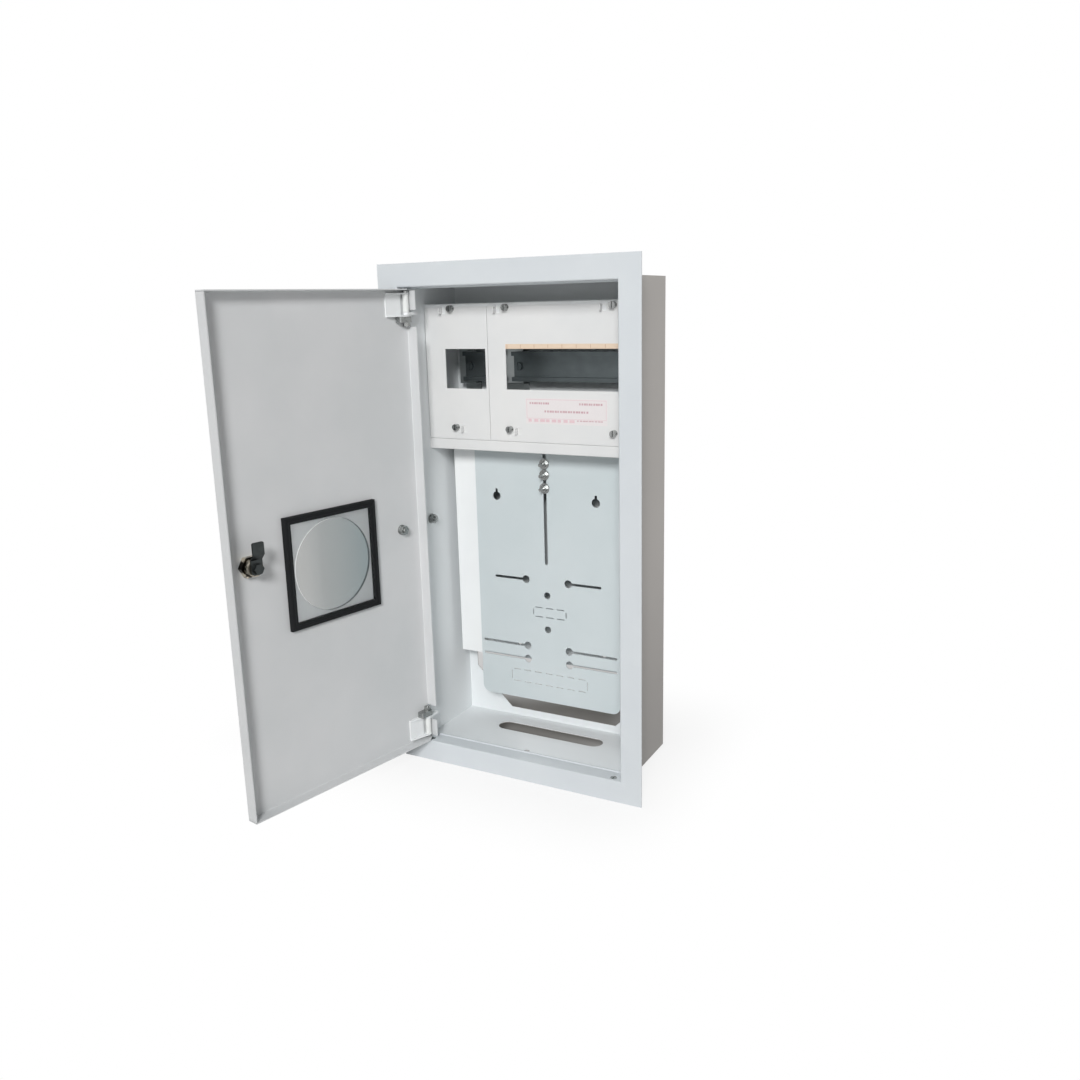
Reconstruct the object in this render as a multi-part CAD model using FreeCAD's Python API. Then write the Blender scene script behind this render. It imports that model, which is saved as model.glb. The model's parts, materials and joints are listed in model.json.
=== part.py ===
import FreeCAD, Part
import math
import os

# Recessed electric meter box with its door open. Millimetres, Z up, Y into the wall.
# The pieces are drawn from the centre of the flange's front face. At the end they move
# so that the origin is the centre of the four wall-fixing holes, on the back wall's
# outer face.

# Front frame: a flange that lies on the wall, and a return that reaches into the body
opening_width = 269.8
opening_height = 548.0
flange_border = 26.0
frame_sheet = 1.2
frame_return = 23.0
return_bead_radius = 1.6
bend_radius = 0.8

# Body: an open-fronted sheet box sunk in the wall, with a gap round the frame's return
body_depth = 125.0
body_sheet = 1.2
body_side_gap = 1.7
body_end_gap = 2.6

# Door: a shallow folded tray that closes flush inside the frame
door_side_gap = 1.4
door_end_gap = 1.7
door_depth = 15.0
door_sheet = 1.2
corner_seam = 0.5
open_angle = 101.5

# Door hinges: a pin near the tray's edge, through a door bracket and a frame plate
pin_inset = 6.0
pin_setback = 5.0
pin_radius = 2.0
pin_clearance = 0.05
pin_head_radius = 3.4
pin_head_height = 2.0
pin_tail = 11.5
pin_nut_flats = 7.0
pin_nut_height = 4.2
strap_length = 18.0
strap_width = 9.0
strap_thickness = 6.5
strap_overhang = 4.0
hinge_end_gap = 4.3
hinge_height = 26.0
hinge_ear = 1.5
hinge_bracket_width = 22.0
hinge_bracket_start = 6.0
hinge_eye_radius = 3.5
hinge_plate_thickness = 3.0
hinge_leg = 2.5
hinge_leg_start = 17.0
hinge_leg_depth = 5.8
hinge_neck_side = 1.5
hinge_play = 0.3
hinge_notch_margin = 2.5
hinge_notch_depth = 2.0
top_return_cut = 14.0
top_return_fall = 10.5

# Door window
window_offset = -1.0
window_drop = 20.0
window_hole_radius = 51.0
pane_size = 116.0
pane_thickness = 3.0
gasket_size = 124.0
gasket_inner = 108.0
gasket_depth = 5.2
gasket_corner = 3.0
pane_standoff = 1.2

# Cam lock near the door's free edge
lock_edge_distance = 28.5
lock_barrel_radius = 8.6
lock_barrel_length = 15.0
lock_head_radius = 12.5
lock_head_height = 2.5
lock_head_chamfer = 0.8
lock_nut_flats = 21.0
lock_nut_height = 6.0
plug_radius = 6.5
plug_head_radius = 8.0
plug_head_height = 1.2
plug_clearance = 0.05
key_slot_width = 1.8
key_slot_length = 8.0
key_slot_depth = 6.0
cam_width = 13.5
cam_reach = 28.0
cam_thickness = 2.0
cam_crank = 5.0
cam_crank_start = 9.0
cam_crank_end = 15.0
cam_corner = 2.0
cam_root_corner = 4.0
cam_gap = 0.3
cam_square = 8.0
cam_bolt_radius = 3.0
cam_bolt_flats = 10.0
cam_bolt_head = 4.0
cam_bolt_depth = 8.0

# Lock catch: an angle on the frame's return, behind the door's edge
catch_sheet = 1.2
catch_height = 40.0
catch_reach = 8.0
catch_setback = 18.3
catch_leg = 4.5
catch_bend = 1.0

# Screws that join the frame's return to the body, countersunk, in square weld nuts
frame_screw_inset = 11.0
frame_screw_setback = 7.0
frame_screw_radius = 2.0
frame_screw_head_radius = 4.0
frame_screw_length = 8.0
frame_nut_width = 7.0
frame_screw_slot_length = 6.0
frame_screw_slot_depth = 0.8

# Inner covers over the breakers, and the two rails that carry them. Everything inside keeps
# its distance from the back wall
cover_standoff = 69.5
cover_sheet = 1.2
cover_top_gap = 23.0
cover_height = 153.0
cover_wall_gap = 0.8
cover_seam = 0.6
cover_seam_distance = 85.8
cover_window_rise = 59.5
cover_window_height = 46.0
breaker_window_width = 55.0
breaker_window_margin = 3.2
module_window_start = 23.2
module_window_margin = 20.9
cover_top_screw_drop = 1.5
cover_low_screw_rise = 14.0
cover_screw_radius = 2.0
cover_screw_hole = 2.3
cover_screw_length = 10.0
cover_screw_head_radius = 3.7
cover_screw_head_height = 6.0
seal_hole_radius = 1.0
seal_hole_rise = 2.0
breaker_top_screw = 47.6
breaker_low_screw = 46.1
module_screw_left = 25.6
module_low_screw_shift = 1.8
module_screw_margin = 30.7
lug_width = 7.5
lug_depth = 5.6
lug_window = 5.0
lug_top_offset = 14.2
lug_low_offset = 8.4
lug_low_drop = 2.0
support_height = 21.0
support_rise = 4.0
support_depth = 18.0
cross_face = 12.4
cross_gap = 0.6
cross_depth = 26.0
cross_upper = 24.0
cross_bend = 1.0

# Circuit strip above the long window, and the notice below it
strip_height = 5.4
strip_thickness = 0.3
notice_width = 102.0
notice_height = 29.0
notice_thickness = 0.2
notice_drop = 9.0
notice_inset = 24.6

# Mounting rails for modular devices, 35 mm top-hat section, and their stand-off brackets
rail_width = 35.0
rail_depth = 7.5
rail_sheet = 1.0
rail_web = 27.0
rail_shoulder = 44.8
rail_hole_inset = 7.0
short_rail_start = 21.8
short_rail_length = 56.0
rail_space = 12.5
long_rail_wall_gap = 17.8
rail_bracket_sheet = 1.5
rail_bracket_height = 43.0
rail_bracket_foot = 10.0
rail_bracket_margin = 6.0
rail_bracket_lead = 9.0
rail_bracket_width = 22.0
rail_screw_radius = 2.5
rail_screw_length = 8.5
rail_screw_head_radius = 4.6
rail_screw_head_height = 3.0

# Meter plate and the two channels behind it
plate_width = 193.0
plate_sheet = 1.2
plate_standoff = 35.5
plate_rise = 20.0
plate_floor_gap = 41.8
plate_corner = 10.0
channel_wall_gap = 9.8
channel_overlap = 15.5
channel_foot = 30.0
channel_sheet = 1.5
channel_rise = 4.0
channel_lift = 52.0
meter_slot_width = 4.4
meter_slot_top = 38.0
meter_slot_length = 137.0
meter_screw_drops = (50.5, 63.8, 80.0)
meter_screw_radius = 2.0
meter_screw_head_radius = 4.0
meter_screw_head_height = 2.6
meter_screw_reach = 12.0
meter_washer_radius = 6.4
meter_washer_thickness = 1.0
meter_nut_flats = 7.0
meter_nut_height = 3.2
keyhole_edge_distance = 29.5
keyhole_drop = 93.5
keyhole_radius = 5.4
keyhole_neck = 3.4
keyhole_neck_rise = 7.6
centre_hole_radius = 4.4
centre_hole_drop = 214.0
centre_hole_lift = 96.0
slide_slot_width = 3.2
slide_eye_radius = 5.0
slide_eye_span = 29.0
upper_slide_drop = 196.0
upper_slide_margin = 23.5
lower_slide_lifts = (71.5, 54.0)
lower_slide_margin = 3.5
slide_nut_room = 14.0
knockout_line = 1.1
knockout_bridge = 5.0
knockout_dash = 16.0
small_knockout = (45.0, 12.0)
small_knockout_shift = 3.0
small_knockout_drop = 236.3
wide_knockout = (106.0, 16.0)
wide_knockout_lift = 30.0
hook_lift = 106.0
hook_height = 12.0
hook_depth = 8.0
hook_tongue = 6.0
hook_play = 0.5
plate_screw_inset = 7.5
plate_screw_drop = 14.0
plate_screw_radius = 2.0
plate_screw_length = 8.0
plate_screw_head_radius = 4.0
plate_screw_head_height = 2.6
plate_nut_flats = 7.0
plate_nut_height = 3.2

# Earth studs on the body's left wall and on the door
stud_radius = 3.0
stud_length = 8.6
stud_washer_radius = 6.0
stud_washer_thickness = 1.4
stud_nut_flats = 10.0
stud_nut_height = 5.0
body_stud_setback = 48.4
body_stud_drop = 1.5
door_stud_inset = 28.2
door_stud_drop = 2.0

# Back wall: fixing holes and cable cut-out. Floor: cable slot and a drain hole
fixing_hole_radius = 3.5
fixing_half_span = 60.0
fixing_top_drop = 26.0
fixing_low_rise = 21.0
cutout_wall_margin = 11.8
cutout_floor_margin = 9.8
cutout_drop = 12.0
cutout_chamfer = 51.0
floor_slot_length = 146.0
floor_slot_width = 23.0
floor_slot_standoff = 37.0
drain_radius = 4.5
drain_offset = -3.0
drain_setback = 31.0
fit_clearance = 0.1

# Screwdriver slots, how far a cutting solid runs past a face, and the margin for finding edges
screw_slot_width = 1.0
screw_slot_share = 0.45
overcut = 1.0
edge_margin = 0.01

# Places worked out from the sizes above
V = FreeCAD.Vector
X_AXIS = V(1, 0, 0)
Y_AXIS = V(0, 1, 0)
Z_AXIS = V(0, 0, 1)
open_x = opening_width / 2
open_z = opening_height / 2
flange_x = open_x + flange_border
flange_z = open_z + flange_border
inner_x = open_x + frame_sheet + body_side_gap
inner_z = open_z + frame_sheet + body_end_gap
back_y = body_depth - body_sheet
outer_bend = frame_sheet + bend_radius
door_x = open_x - door_side_gap
door_z = open_z - door_end_gap
pin_x = -door_x + pin_inset
pin_y = pin_setback
hinge_high = door_z - hinge_end_gap
hinge_low = hinge_high - hinge_height
hinge_plate_low = hinge_low + hinge_ear + hinge_play
hinge_plate_high = hinge_plate_low + hinge_plate_thickness
strap_low = hinge_low - strap_thickness
window_z = -window_drop
lock_x = door_x - lock_edge_distance
lock_z = 0.0
cover_top = open_z - cover_top_gap
cover_bottom = cover_top - cover_height
cover_setback = body_depth - cover_standoff
cover_back = cover_setback + cover_sheet
cover_left = -inner_x + cover_wall_gap
cover_right = inner_x - cover_wall_gap
seam_x = -inner_x + cover_seam_distance
cover_window_low = cover_bottom + cover_window_rise
cover_window_high = cover_window_low + cover_window_height
breaker_window_high_x = seam_x - cover_seam / 2 - breaker_window_margin
breaker_window_low_x = breaker_window_high_x - breaker_window_width
module_window_low_x = seam_x + cover_seam / 2 + module_window_start
module_window_high_x = cover_right - module_window_margin
top_screw_z = cover_top - cover_top_screw_drop
low_screw_z = cover_bottom + cover_low_screw_rise
breaker_screw_x = seam_x - breaker_top_screw
breaker_low_x = seam_x - breaker_low_screw
module_left_x = seam_x + module_screw_left
module_low_x = module_left_x + module_low_screw_shift
module_right_x = cover_right - module_screw_margin
cross_top = cover_bottom - cross_gap
cross_bottom = cross_top - cross_face
rail_y = cover_back + rail_shoulder
rail_z = cover_window_low + cover_window_height / 2
short_rail_x = -inner_x + short_rail_start
short_rail_end = short_rail_x + short_rail_length
long_rail_x = short_rail_end + rail_space
long_rail_end = inner_x - long_rail_wall_gap
rail_back = rail_y + rail_depth
plate_top = cover_bottom + plate_rise
plate_bottom = -inner_z + plate_floor_gap
plate_x = plate_width / 2
plate_setback = body_depth - plate_standoff
plate_back = plate_setback + plate_sheet
channel_x = inner_x - channel_wall_gap
channel_edge = plate_x - channel_overlap
channel_top = plate_top + channel_rise
channel_bottom = plate_bottom + channel_lift
cutout_x = inner_x - cutout_wall_margin
cutout_top = channel_bottom - cutout_drop
cutout_bottom = -inner_z + cutout_floor_margin
fixing_top = cover_top - fixing_top_drop
fixing_low = cutout_top + fixing_low_rise
fixing_middle = (fixing_top + fixing_low) / 2


def box(x0, x1, y0, y1, z0, z1):
    return Part.makeBox(x1 - x0, y1 - y0, z1 - z0, V(x0, y0, z0))


def rod(start, direction, radius, length):
    return Part.makeCylinder(radius, length, start, direction)


def joined(first, *rest):
    return first.fuse(list(rest)).removeSplitter()


def prism(axis, low, high, points):
    """Extrude an outline along one axis; its points are the other two coordinates."""
    if axis == "x":
        corners = [V(low, a, b) for a, b in points]
        along = X_AXIS
    elif axis == "y":
        corners = [V(a, low, b) for a, b in points]
        along = Y_AXIS
    else:
        corners = [V(a, b, low) for a, b in points]
        along = Z_AXIS
    outline = Part.makePolygon(corners + corners[:1])
    return Part.Face(outline).extrude(along * (high - low))


def mirrored(shape, normal):
    return shape.mirror(V(0, 0, 0), normal)


def placed(shape, seat, toward):
    """Turn a piece drawn along +Z to point another way, and set its zero on the seat."""
    shape.Placement = FreeCAD.Placement(seat, FreeCAD.Rotation(Z_AXIS, toward))
    return shape


def hexagon(flats, height):
    corner = flats / math.sqrt(3)
    angles = [math.radians(60 * step) for step in range(6)]
    return prism("z", 0, height, [(corner * math.cos(a), corner * math.sin(a)) for a in angles])


def nut(seat, toward, flats, height, bore):
    body = hexagon(flats, height).cut(rod(V(0, 0, -overcut), Z_AXIS, bore, height + 2 * overcut))
    return placed(body, seat, toward)


def ring(seat, toward, radius, bore, height):
    body = rod(V(0, 0, 0), Z_AXIS, radius, height)
    hole = rod(V(0, 0, -overcut), Z_AXIS, bore, height + 2 * overcut)
    return placed(body.cut(hole), seat, toward)


def pan_screw(seat, toward, radius, length, head_radius, head_height):
    """A slotted screw whose head stands on the seat and whose shank points toward."""
    shank = rod(V(0, 0, 0), Z_AXIS, radius, length)
    head = rod(V(0, 0, -head_height), Z_AXIS, head_radius, head_height)
    half = screw_slot_width / 2
    slot = box(-half, half, -head_radius, head_radius,
               -head_height - overcut, (screw_slot_share - 1) * head_height)
    return placed(joined(head, shank).cut(slot), seat, toward)


def through_y(x, z, radius, low, high):
    return rod(V(x, low, z), Y_AXIS, radius, high - low)


def slot_y(x0, x1, z, width, low, high):
    """A level slot with round ends, cut along Y."""
    radius = width / 2
    middle = box(x0 + radius, x1 - radius, low, high, z - radius, z + radius)
    ends = [through_y(x, z, radius, low, high) for x in (x0 + radius, x1 - radius)]
    return joined(middle, *ends)


def edges_at(shape, axis, value):
    """The straight edges that lie wholly at one value of an axis."""
    found = []
    for edge in shape.Edges:
        limits = edge.BoundBox
        low = getattr(limits, axis + "Min")
        high = getattr(limits, axis + "Max")
        if abs(low - value) < edge_margin and abs(high - value) < edge_margin:
            found.append(edge)
    return found


def folded_tray(half_x, half_z, front, rim, sheet):
    """A tray folded from one sheet: a flat face at the front and four sides behind it."""
    outer = box(-half_x, half_x, front, rim, -half_z, half_z)
    outer = outer.makeFillet(sheet + bend_radius, edges_at(outer, "Y", front))
    inner = box(sheet - half_x, half_x - sheet, front + sheet, rim + overcut,
                sheet - half_z, half_z - sheet)
    inner = inner.makeFillet(bend_radius, edges_at(inner, "Y", front + sheet))
    return outer.cut(inner)


def body_shell():
    """The sunk body: walls, back wall with its holes, and the floor's cable slot."""
    outer_x = inner_x + body_sheet
    outer_z = inner_z + body_sheet
    outer = box(-outer_x, outer_x, frame_sheet, body_depth, -outer_z, outer_z)
    outer = outer.makeFillet(body_sheet + bend_radius, edges_at(outer, "Y", body_depth))
    inner = box(-inner_x, inner_x, 0, back_y, -inner_z, inner_z)
    inner = inner.makeFillet(bend_radius, edges_at(inner, "Y", back_y))
    shell = outer.cut(inner)
    cuts = []
    for x in (-fixing_half_span, fixing_half_span):
        for z in (fixing_top, fixing_low):
            cuts.append(through_y(x, z, fixing_hole_radius, back_y - overcut, body_depth + overcut))
    cuts.append(prism("y", back_y - overcut, body_depth + overcut, [
        (-cutout_x, cutout_top), (cutout_x, cutout_top),
        (cutout_x, cutout_bottom + cutout_chamfer), (cutout_x - cutout_chamfer, cutout_bottom),
        (cutout_chamfer - cutout_x, cutout_bottom), (-cutout_x, cutout_bottom + cutout_chamfer)]))
    cuts.append(floor_slot())
    cuts.append(rod(V(drain_offset, drain_setback, -outer_z - overcut), Z_AXIS, drain_radius,
                    body_sheet + 2 * overcut))
    for x, z_side in frame_screw_places():
        start = V(x, frame_screw_setback, z_side * (inner_z - overcut))
        cuts.append(rod(start, Z_AXIS * z_side, frame_screw_radius + fit_clearance,
                        body_sheet + 2 * overcut))
    return shell.cut(cuts)


def floor_slot():
    radius = floor_slot_width / 2
    reach = floor_slot_length / 2 - radius
    middle_y = body_depth - floor_slot_standoff
    low = -inner_z - body_sheet - overcut
    depth = body_sheet + 2 * overcut
    middle = box(-reach, reach, middle_y - radius, middle_y + radius, low, low + depth)
    ends = [rod(V(x, middle_y, low), Z_AXIS, radius, depth) for x in (-reach, reach)]
    return joined(middle, *ends)


def frame_screw_places():
    reach = open_x - frame_screw_inset
    return [(x, side) for x in (-reach, reach) for side in (-1, 1)]


def front_frame():
    """The flange and its return, one folded frame, with countersunk screw holes."""
    flange = box(-flange_x, flange_x, 0, frame_sheet, -flange_z, flange_z)
    sleeve_x = open_x + frame_sheet
    sleeve_z = open_z + frame_sheet
    sleeve = box(-sleeve_x, sleeve_x, 0, frame_return, -sleeve_z, sleeve_z)
    opening = box(-open_x, open_x, -overcut, frame_return + overcut, -open_z, open_z)
    opening_rim = edges_at(box(-open_x, open_x, 0, frame_return, -open_z, open_z), "Y", 0)
    frame = joined(flange, sleeve).cut(opening)
    rim = [edge for edge in edges_at(frame, "Y", 0)
           if any((edge.CenterOfMass - other.CenterOfMass).Length < edge_margin for other in opening_rim)]
    frame = frame.makeFillet(outer_bend, rim)
    corner = [edge for edge in edges_at(frame, "Y", frame_sheet)
              if abs(edge.CenterOfMass.x) < sleeve_x + edge_margin
              and abs(edge.CenterOfMass.z) < sleeve_z + edge_margin]
    frame = frame.makeFillet(bend_radius, corner)
    heads = [countersink(x, side, fit_clearance) for x, side in frame_screw_places()]
    beads = [return_bead(side) for side in (-1, 1)]
    return joined(frame, *beads).cut(heads)


def return_bead(side):
    """The rolled edge of the upper or lower return, half of it proud of the sheet."""
    middle_y = frame_return - return_bead_radius
    return rod(V(-open_x, middle_y, side * open_z), X_AXIS, return_bead_radius, 2 * open_x)


def countersink(x, side, extra):
    """The cone of a countersunk head, wide at the return's inner face."""
    wide = frame_screw_head_radius + extra
    narrow = frame_screw_radius + extra
    start = V(x, frame_screw_setback, side * open_z)
    return Part.makeCone(wide, narrow, wide - narrow, start, Z_AXIS * side)


def frame_screws():
    screws = []
    for x, side in frame_screw_places():
        start = V(x, frame_screw_setback, side * open_z)
        shank = rod(start, Z_AXIS * side, frame_screw_radius, frame_screw_length)
        drive = box(x - screw_slot_width / 2, x + screw_slot_width / 2,
                    frame_screw_setback - frame_screw_slot_length / 2,
                    frame_screw_setback + frame_screw_slot_length / 2,
                    side * open_z - frame_screw_slot_depth, side * open_z + frame_screw_slot_depth)
        screws.append(joined(countersink(x, side, 0), shank).cut(drive))
    return screws


def frame_nuts():
    """Square weld nuts on the body, which fill the gap behind the return."""
    half = frame_nut_width / 2
    nuts = []
    for x, side in frame_screw_places():
        low, high = sorted((side * (open_z + frame_sheet), side * inner_z))
        block = box(x - half, x + half, frame_screw_setback - half, frame_screw_setback + half, low, high)
        bore = rod(V(x, frame_screw_setback, low - overcut), Z_AXIS, frame_screw_radius + fit_clearance,
                   high - low + 2 * overcut)
        nuts.append(block.cut([bore, countersink(x, side, fit_clearance)]))
    return nuts


def lock_catch():
    """An angle on the right-hand return; the cam turns in behind its lip."""
    low = lock_z - catch_height / 2
    high = lock_z + catch_height / 2
    lip = box(open_x - catch_reach, open_x, catch_setback, catch_setback + catch_sheet, low, high)
    leg = box(open_x - catch_sheet, open_x, catch_setback, catch_setback + catch_leg, low, high)
    catch = joined(lip, leg)
    inner_bend = [edge for edge in catch.Edges
                  if abs(edge.CenterOfMass.x - open_x) < edge_margin and edge.Length > catch_height / 2
                  and abs(edge.CenterOfMass.y - catch_setback) < edge_margin]
    return catch.makeFillet(catch_bend, inner_bend)


def hinge_plate():
    """The frame's upper hinge plate: a leg on the return and a neck that holds the pin."""
    leg_x = -open_x + hinge_leg
    leg_end = hinge_leg_start + hinge_leg_depth
    leg = box(-open_x, leg_x, hinge_leg_start, leg_end, hinge_low, hinge_high)
    right = pin_x + hinge_eye_radius
    plate = prism("z", hinge_plate_low, hinge_plate_high, [
        (-open_x, hinge_leg_start), (pin_x - hinge_neck_side, hinge_leg_start),
        (pin_x - hinge_neck_side, pin_y), (right, pin_y), (right, leg_end), (-open_x, leg_end)])
    eye = rod(V(pin_x, pin_y, hinge_plate_low), Z_AXIS, hinge_eye_radius, hinge_plate_thickness)
    bore = rod(V(pin_x, pin_y, hinge_plate_low - overcut), Z_AXIS, pin_radius + pin_clearance,
               hinge_plate_thickness + 2 * overcut)
    return joined(leg, plate, eye).cut(bore)


def door_hinge_bracket():
    """The door's upper hinge bracket: a base on the panel and two ears round the pin."""
    start = pin_x + hinge_bracket_start
    end = start + hinge_bracket_width
    base = box(start, end, door_sheet, door_sheet + hinge_ear, hinge_low, hinge_high)
    reach = pin_y - door_sheet
    ears = []
    for low in (hinge_low, hinge_high - hinge_ear):
        ear = prism("z", low, low + hinge_ear, [
            (pin_x, door_sheet), (end, door_sheet), (end, door_sheet + 2 * hinge_ear),
            (pin_x + reach, pin_y + reach), (pin_x, pin_y + reach)])
        eye = rod(V(pin_x, pin_y, low), Z_AXIS, reach, hinge_ear)
        bore = rod(V(pin_x, pin_y, low - overcut), Z_AXIS, pin_radius + pin_clearance,
                   hinge_ear + 2 * overcut)
        ears.append(joined(ear, eye).cut(bore))
    return joined(base, *ears)


def hinge_pin():
    """The upper hinge's pin: its head is on the outer ear and its tail carries strap and nut."""
    shank = rod(V(pin_x, pin_y, hinge_low - pin_tail), Z_AXIS, pin_radius, hinge_height + pin_tail)
    head = rod(V(pin_x, pin_y, hinge_high), Z_AXIS, pin_head_radius, pin_head_height)
    return joined(shank, head)


def hinge_strap():
    """A flat bar along the door, between the bracket's inner ear and the nut."""
    bar = box(pin_x - strap_overhang, pin_x - strap_overhang + strap_length,
              pin_y - strap_overhang + hinge_play, pin_y - strap_overhang + hinge_play + strap_width,
              strap_low, hinge_low)
    corners = [edge for edge in bar.Edges if abs(edge.Length - strap_thickness) < edge_margin]
    bar = bar.makeFillet(strap_overhang / 2, corners)
    return bar.cut(rod(V(pin_x, pin_y, strap_low - overcut), Z_AXIS, pin_radius + pin_clearance,
                       strap_thickness + 2 * overcut))


def hinge_nut():
    return nut(V(pin_x, pin_y, strap_low), -Z_AXIS, pin_nut_flats, pin_nut_height, pin_radius + pin_clearance)


def hinge_bush():
    """The white sleeve on the pin between the frame's plate and the bracket's outer ear."""
    low = hinge_plate_high + hinge_play
    return ring(V(pin_x, pin_y, low), Z_AXIS, hinge_eye_radius, pin_radius + pin_clearance,
                hinge_high - hinge_ear - low)


def door_panel():
    """The door's tray, with hinge notches, the window hole and the lock hole."""
    panel = folded_tray(door_x, door_z, 0, door_depth, door_sheet)
    cuts = [through_y(window_offset, window_z, window_hole_radius, -overcut, door_sheet + overcut),
            through_y(lock_x, lock_z, lock_barrel_radius + fit_clearance, -overcut, door_sheet + overcut)]
    notch_low = hinge_low - pin_tail
    notch_high = hinge_plate_high + hinge_notch_margin
    edge = -door_x
    seam_start = door_sheet + bend_radius
    for side in (-1, 1):
        low, high = sorted((side * notch_low, side * notch_high))
        cuts.append(box(edge - overcut, edge + hinge_notch_depth, -overcut, door_depth + overcut, low, high))
        corner_low = door_z - door_sheet - corner_seam
        low, high = sorted((side * corner_low, side * (door_z - door_sheet)))
        for x_side in (-1, 1):
            near, far = sorted((x_side * (door_x - door_sheet), x_side * (door_x + overcut)))
            cuts.append(box(near, far, seam_start, door_depth + overcut, low, high))
        inside = side * (door_z - door_sheet)
        outside = side * (door_z + overcut)
        low, high = sorted((inside, outside))
        cuts.append(prism("z", low, high, [
            (edge - overcut, door_depth - top_return_fall), (edge + top_return_cut, door_depth + overcut),
            (edge - overcut, door_depth + overcut)]))
    return panel.cut(cuts)


def window_pane():
    half = pane_size / 2
    front = door_sheet + pane_standoff
    return box(window_offset - half, window_offset + half, front, front + pane_thickness,
               window_z - half, window_z + half)


def window_gasket():
    """The rubber frame round the pane, with a groove that holds the pane's edge."""
    outer = gasket_size / 2
    inner = gasket_inner / 2
    back = door_sheet + gasket_depth
    frame = box(window_offset - outer, window_offset + outer, door_sheet, back,
                window_z - outer, window_z + outer)
    corners = [edge for edge in frame.Edges if abs(edge.Length - gasket_depth) < edge_margin]
    frame = frame.makeFillet(gasket_corner, corners)
    hole = box(window_offset - inner, window_offset + inner, 0, back + overcut,
               window_z - inner, window_z + inner)
    return frame.cut([hole, window_pane()])


def lock_housing():
    """The lock's fixed barrel, with its round head outside and a bore for the plug."""
    seat = V(lock_x, 0, lock_z)
    head = rod(seat, -Y_AXIS, lock_head_radius, lock_head_height)
    rim = [edge for edge in edges_at(head, "Y", -lock_head_height) if len(edge.Vertexes) == 1]
    head = head.makeChamfer(lock_head_chamfer, rim)
    barrel = rod(seat, Y_AXIS, lock_barrel_radius, lock_barrel_length)
    front = V(lock_x, -lock_head_height - overcut, lock_z)
    bore = rod(front, Y_AXIS, plug_radius + plug_clearance,
               lock_barrel_length + lock_head_height + 2 * overcut)
    sink = rod(front, Y_AXIS, plug_head_radius + plug_clearance,
               overcut + plug_head_height + plug_clearance)
    return joined(head, barrel).cut([bore, sink])


def lock_nut():
    return nut(V(lock_x, door_sheet, lock_z), Y_AXIS, lock_nut_flats, lock_nut_height,
               lock_barrel_radius + fit_clearance)


def lock_plug():
    """The turning plug: a flush head with a key slot, and a square end for the cam."""
    front = V(lock_x, -lock_head_height, lock_z)
    head = rod(front, Y_AXIS, plug_head_radius, plug_head_height)
    core = rod(front, Y_AXIS, plug_radius, lock_head_height + lock_barrel_length)
    half = cam_square / 2
    root = lock_barrel_length + cam_gap + cam_thickness
    square = box(lock_x - half, lock_x + half, lock_barrel_length, root, lock_z - half, lock_z + half)
    plug = joined(head, core, square)
    slot = box(lock_x - key_slot_width / 2, lock_x + key_slot_width / 2, -lock_head_height - overcut,
               key_slot_depth - lock_head_height, lock_z - key_slot_length / 2, lock_z + key_slot_length / 2)
    thread = through_y(lock_x, lock_z, cam_bolt_radius + fit_clearance, root - cam_bolt_depth,
                       root + overcut)
    return plug.cut([slot, thread])


def lock_cam():
    """The cranked cam, pointing up: its end stands further in than its root."""
    root = lock_barrel_length + cam_gap
    half = cam_width / 2
    side = [
        (root, -half), (root + cam_thickness, -half), (root + cam_thickness, cam_crank_start),
        (root + cam_thickness + cam_crank, cam_crank_end), (root + cam_thickness + cam_crank, cam_reach),
        (root + cam_crank, cam_reach), (root + cam_crank, cam_crank_end), (root, cam_crank_start)]
    cam = prism("x", lock_x - half, lock_x + half, [(y, lock_z + z) for y, z in side])
    for end, radius in ((cam_reach, cam_corner), (-half, cam_root_corner)):
        corners = [edge for edge in cam.Edges if abs(edge.CenterOfMass.z - lock_z - end) < edge_margin
                   and abs(abs(edge.CenterOfMass.x - lock_x) - half) < edge_margin]
        cam = cam.makeFillet(radius, corners)
    hole = cam_square / 2 + fit_clearance
    return cam.cut(box(lock_x - hole, lock_x + hole, root - overcut, root + cam_thickness + overcut,
                       lock_z - hole, lock_z + hole))


def cam_bolt():
    """A hexagon bolt that clamps the cam on the plug's square end."""
    seat = V(lock_x, lock_barrel_length + cam_gap + cam_thickness, lock_z)
    head = placed(hexagon(cam_bolt_flats, cam_bolt_head), seat, Y_AXIS)
    return joined(head, rod(seat, -Y_AXIS, cam_bolt_radius, cam_bolt_depth))


def stud_set(seat, toward):
    """A welded earth stud, and the washer and nut on it."""
    stud = rod(seat, toward, stud_radius, stud_length)
    bore = stud_radius + fit_clearance
    washer = ring(seat, toward, stud_washer_radius, bore, stud_washer_thickness)
    nut_seat = seat + toward * stud_washer_thickness
    return stud, [washer, nut(nut_seat, toward, stud_nut_flats, stud_nut_height, bore)]


def cover(low_x, high_x, window_low_x, window_high_x, top_screws, low_screws):
    """A flat inner cover with one window, screw places and folded sealing lugs."""
    plate = box(low_x, high_x, cover_setback, cover_back, cover_bottom, cover_top)
    through = (cover_setback - overcut, cover_back + overcut)
    cuts = [box(window_low_x, window_high_x, through[0], through[1], cover_window_low, cover_window_high)]
    lugs = []
    for x in top_screws:
        cuts.append(through_y(x, top_screw_z, cover_screw_hole, *through))
        cuts.append(box(x - cover_screw_hole, x + cover_screw_hole, through[0], through[1],
                        top_screw_z, cover_top + overcut))
        lug_x = x - lug_top_offset
        lug, gap = sealing_lug(lug_x, cover_top - lug_width / 2)
        lugs.append(lug)
        cuts.append(gap)
    for x, lug_side in low_screws:
        cuts.append(through_y(x, low_screw_z, cover_screw_hole, *through))
        if lug_side:
            lug, gap = sealing_lug(x + lug_low_offset, low_screw_z - lug_low_drop)
            lugs.append(lug)
            cuts.append(gap)
    return joined(plate.cut(cuts), *lugs)


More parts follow.
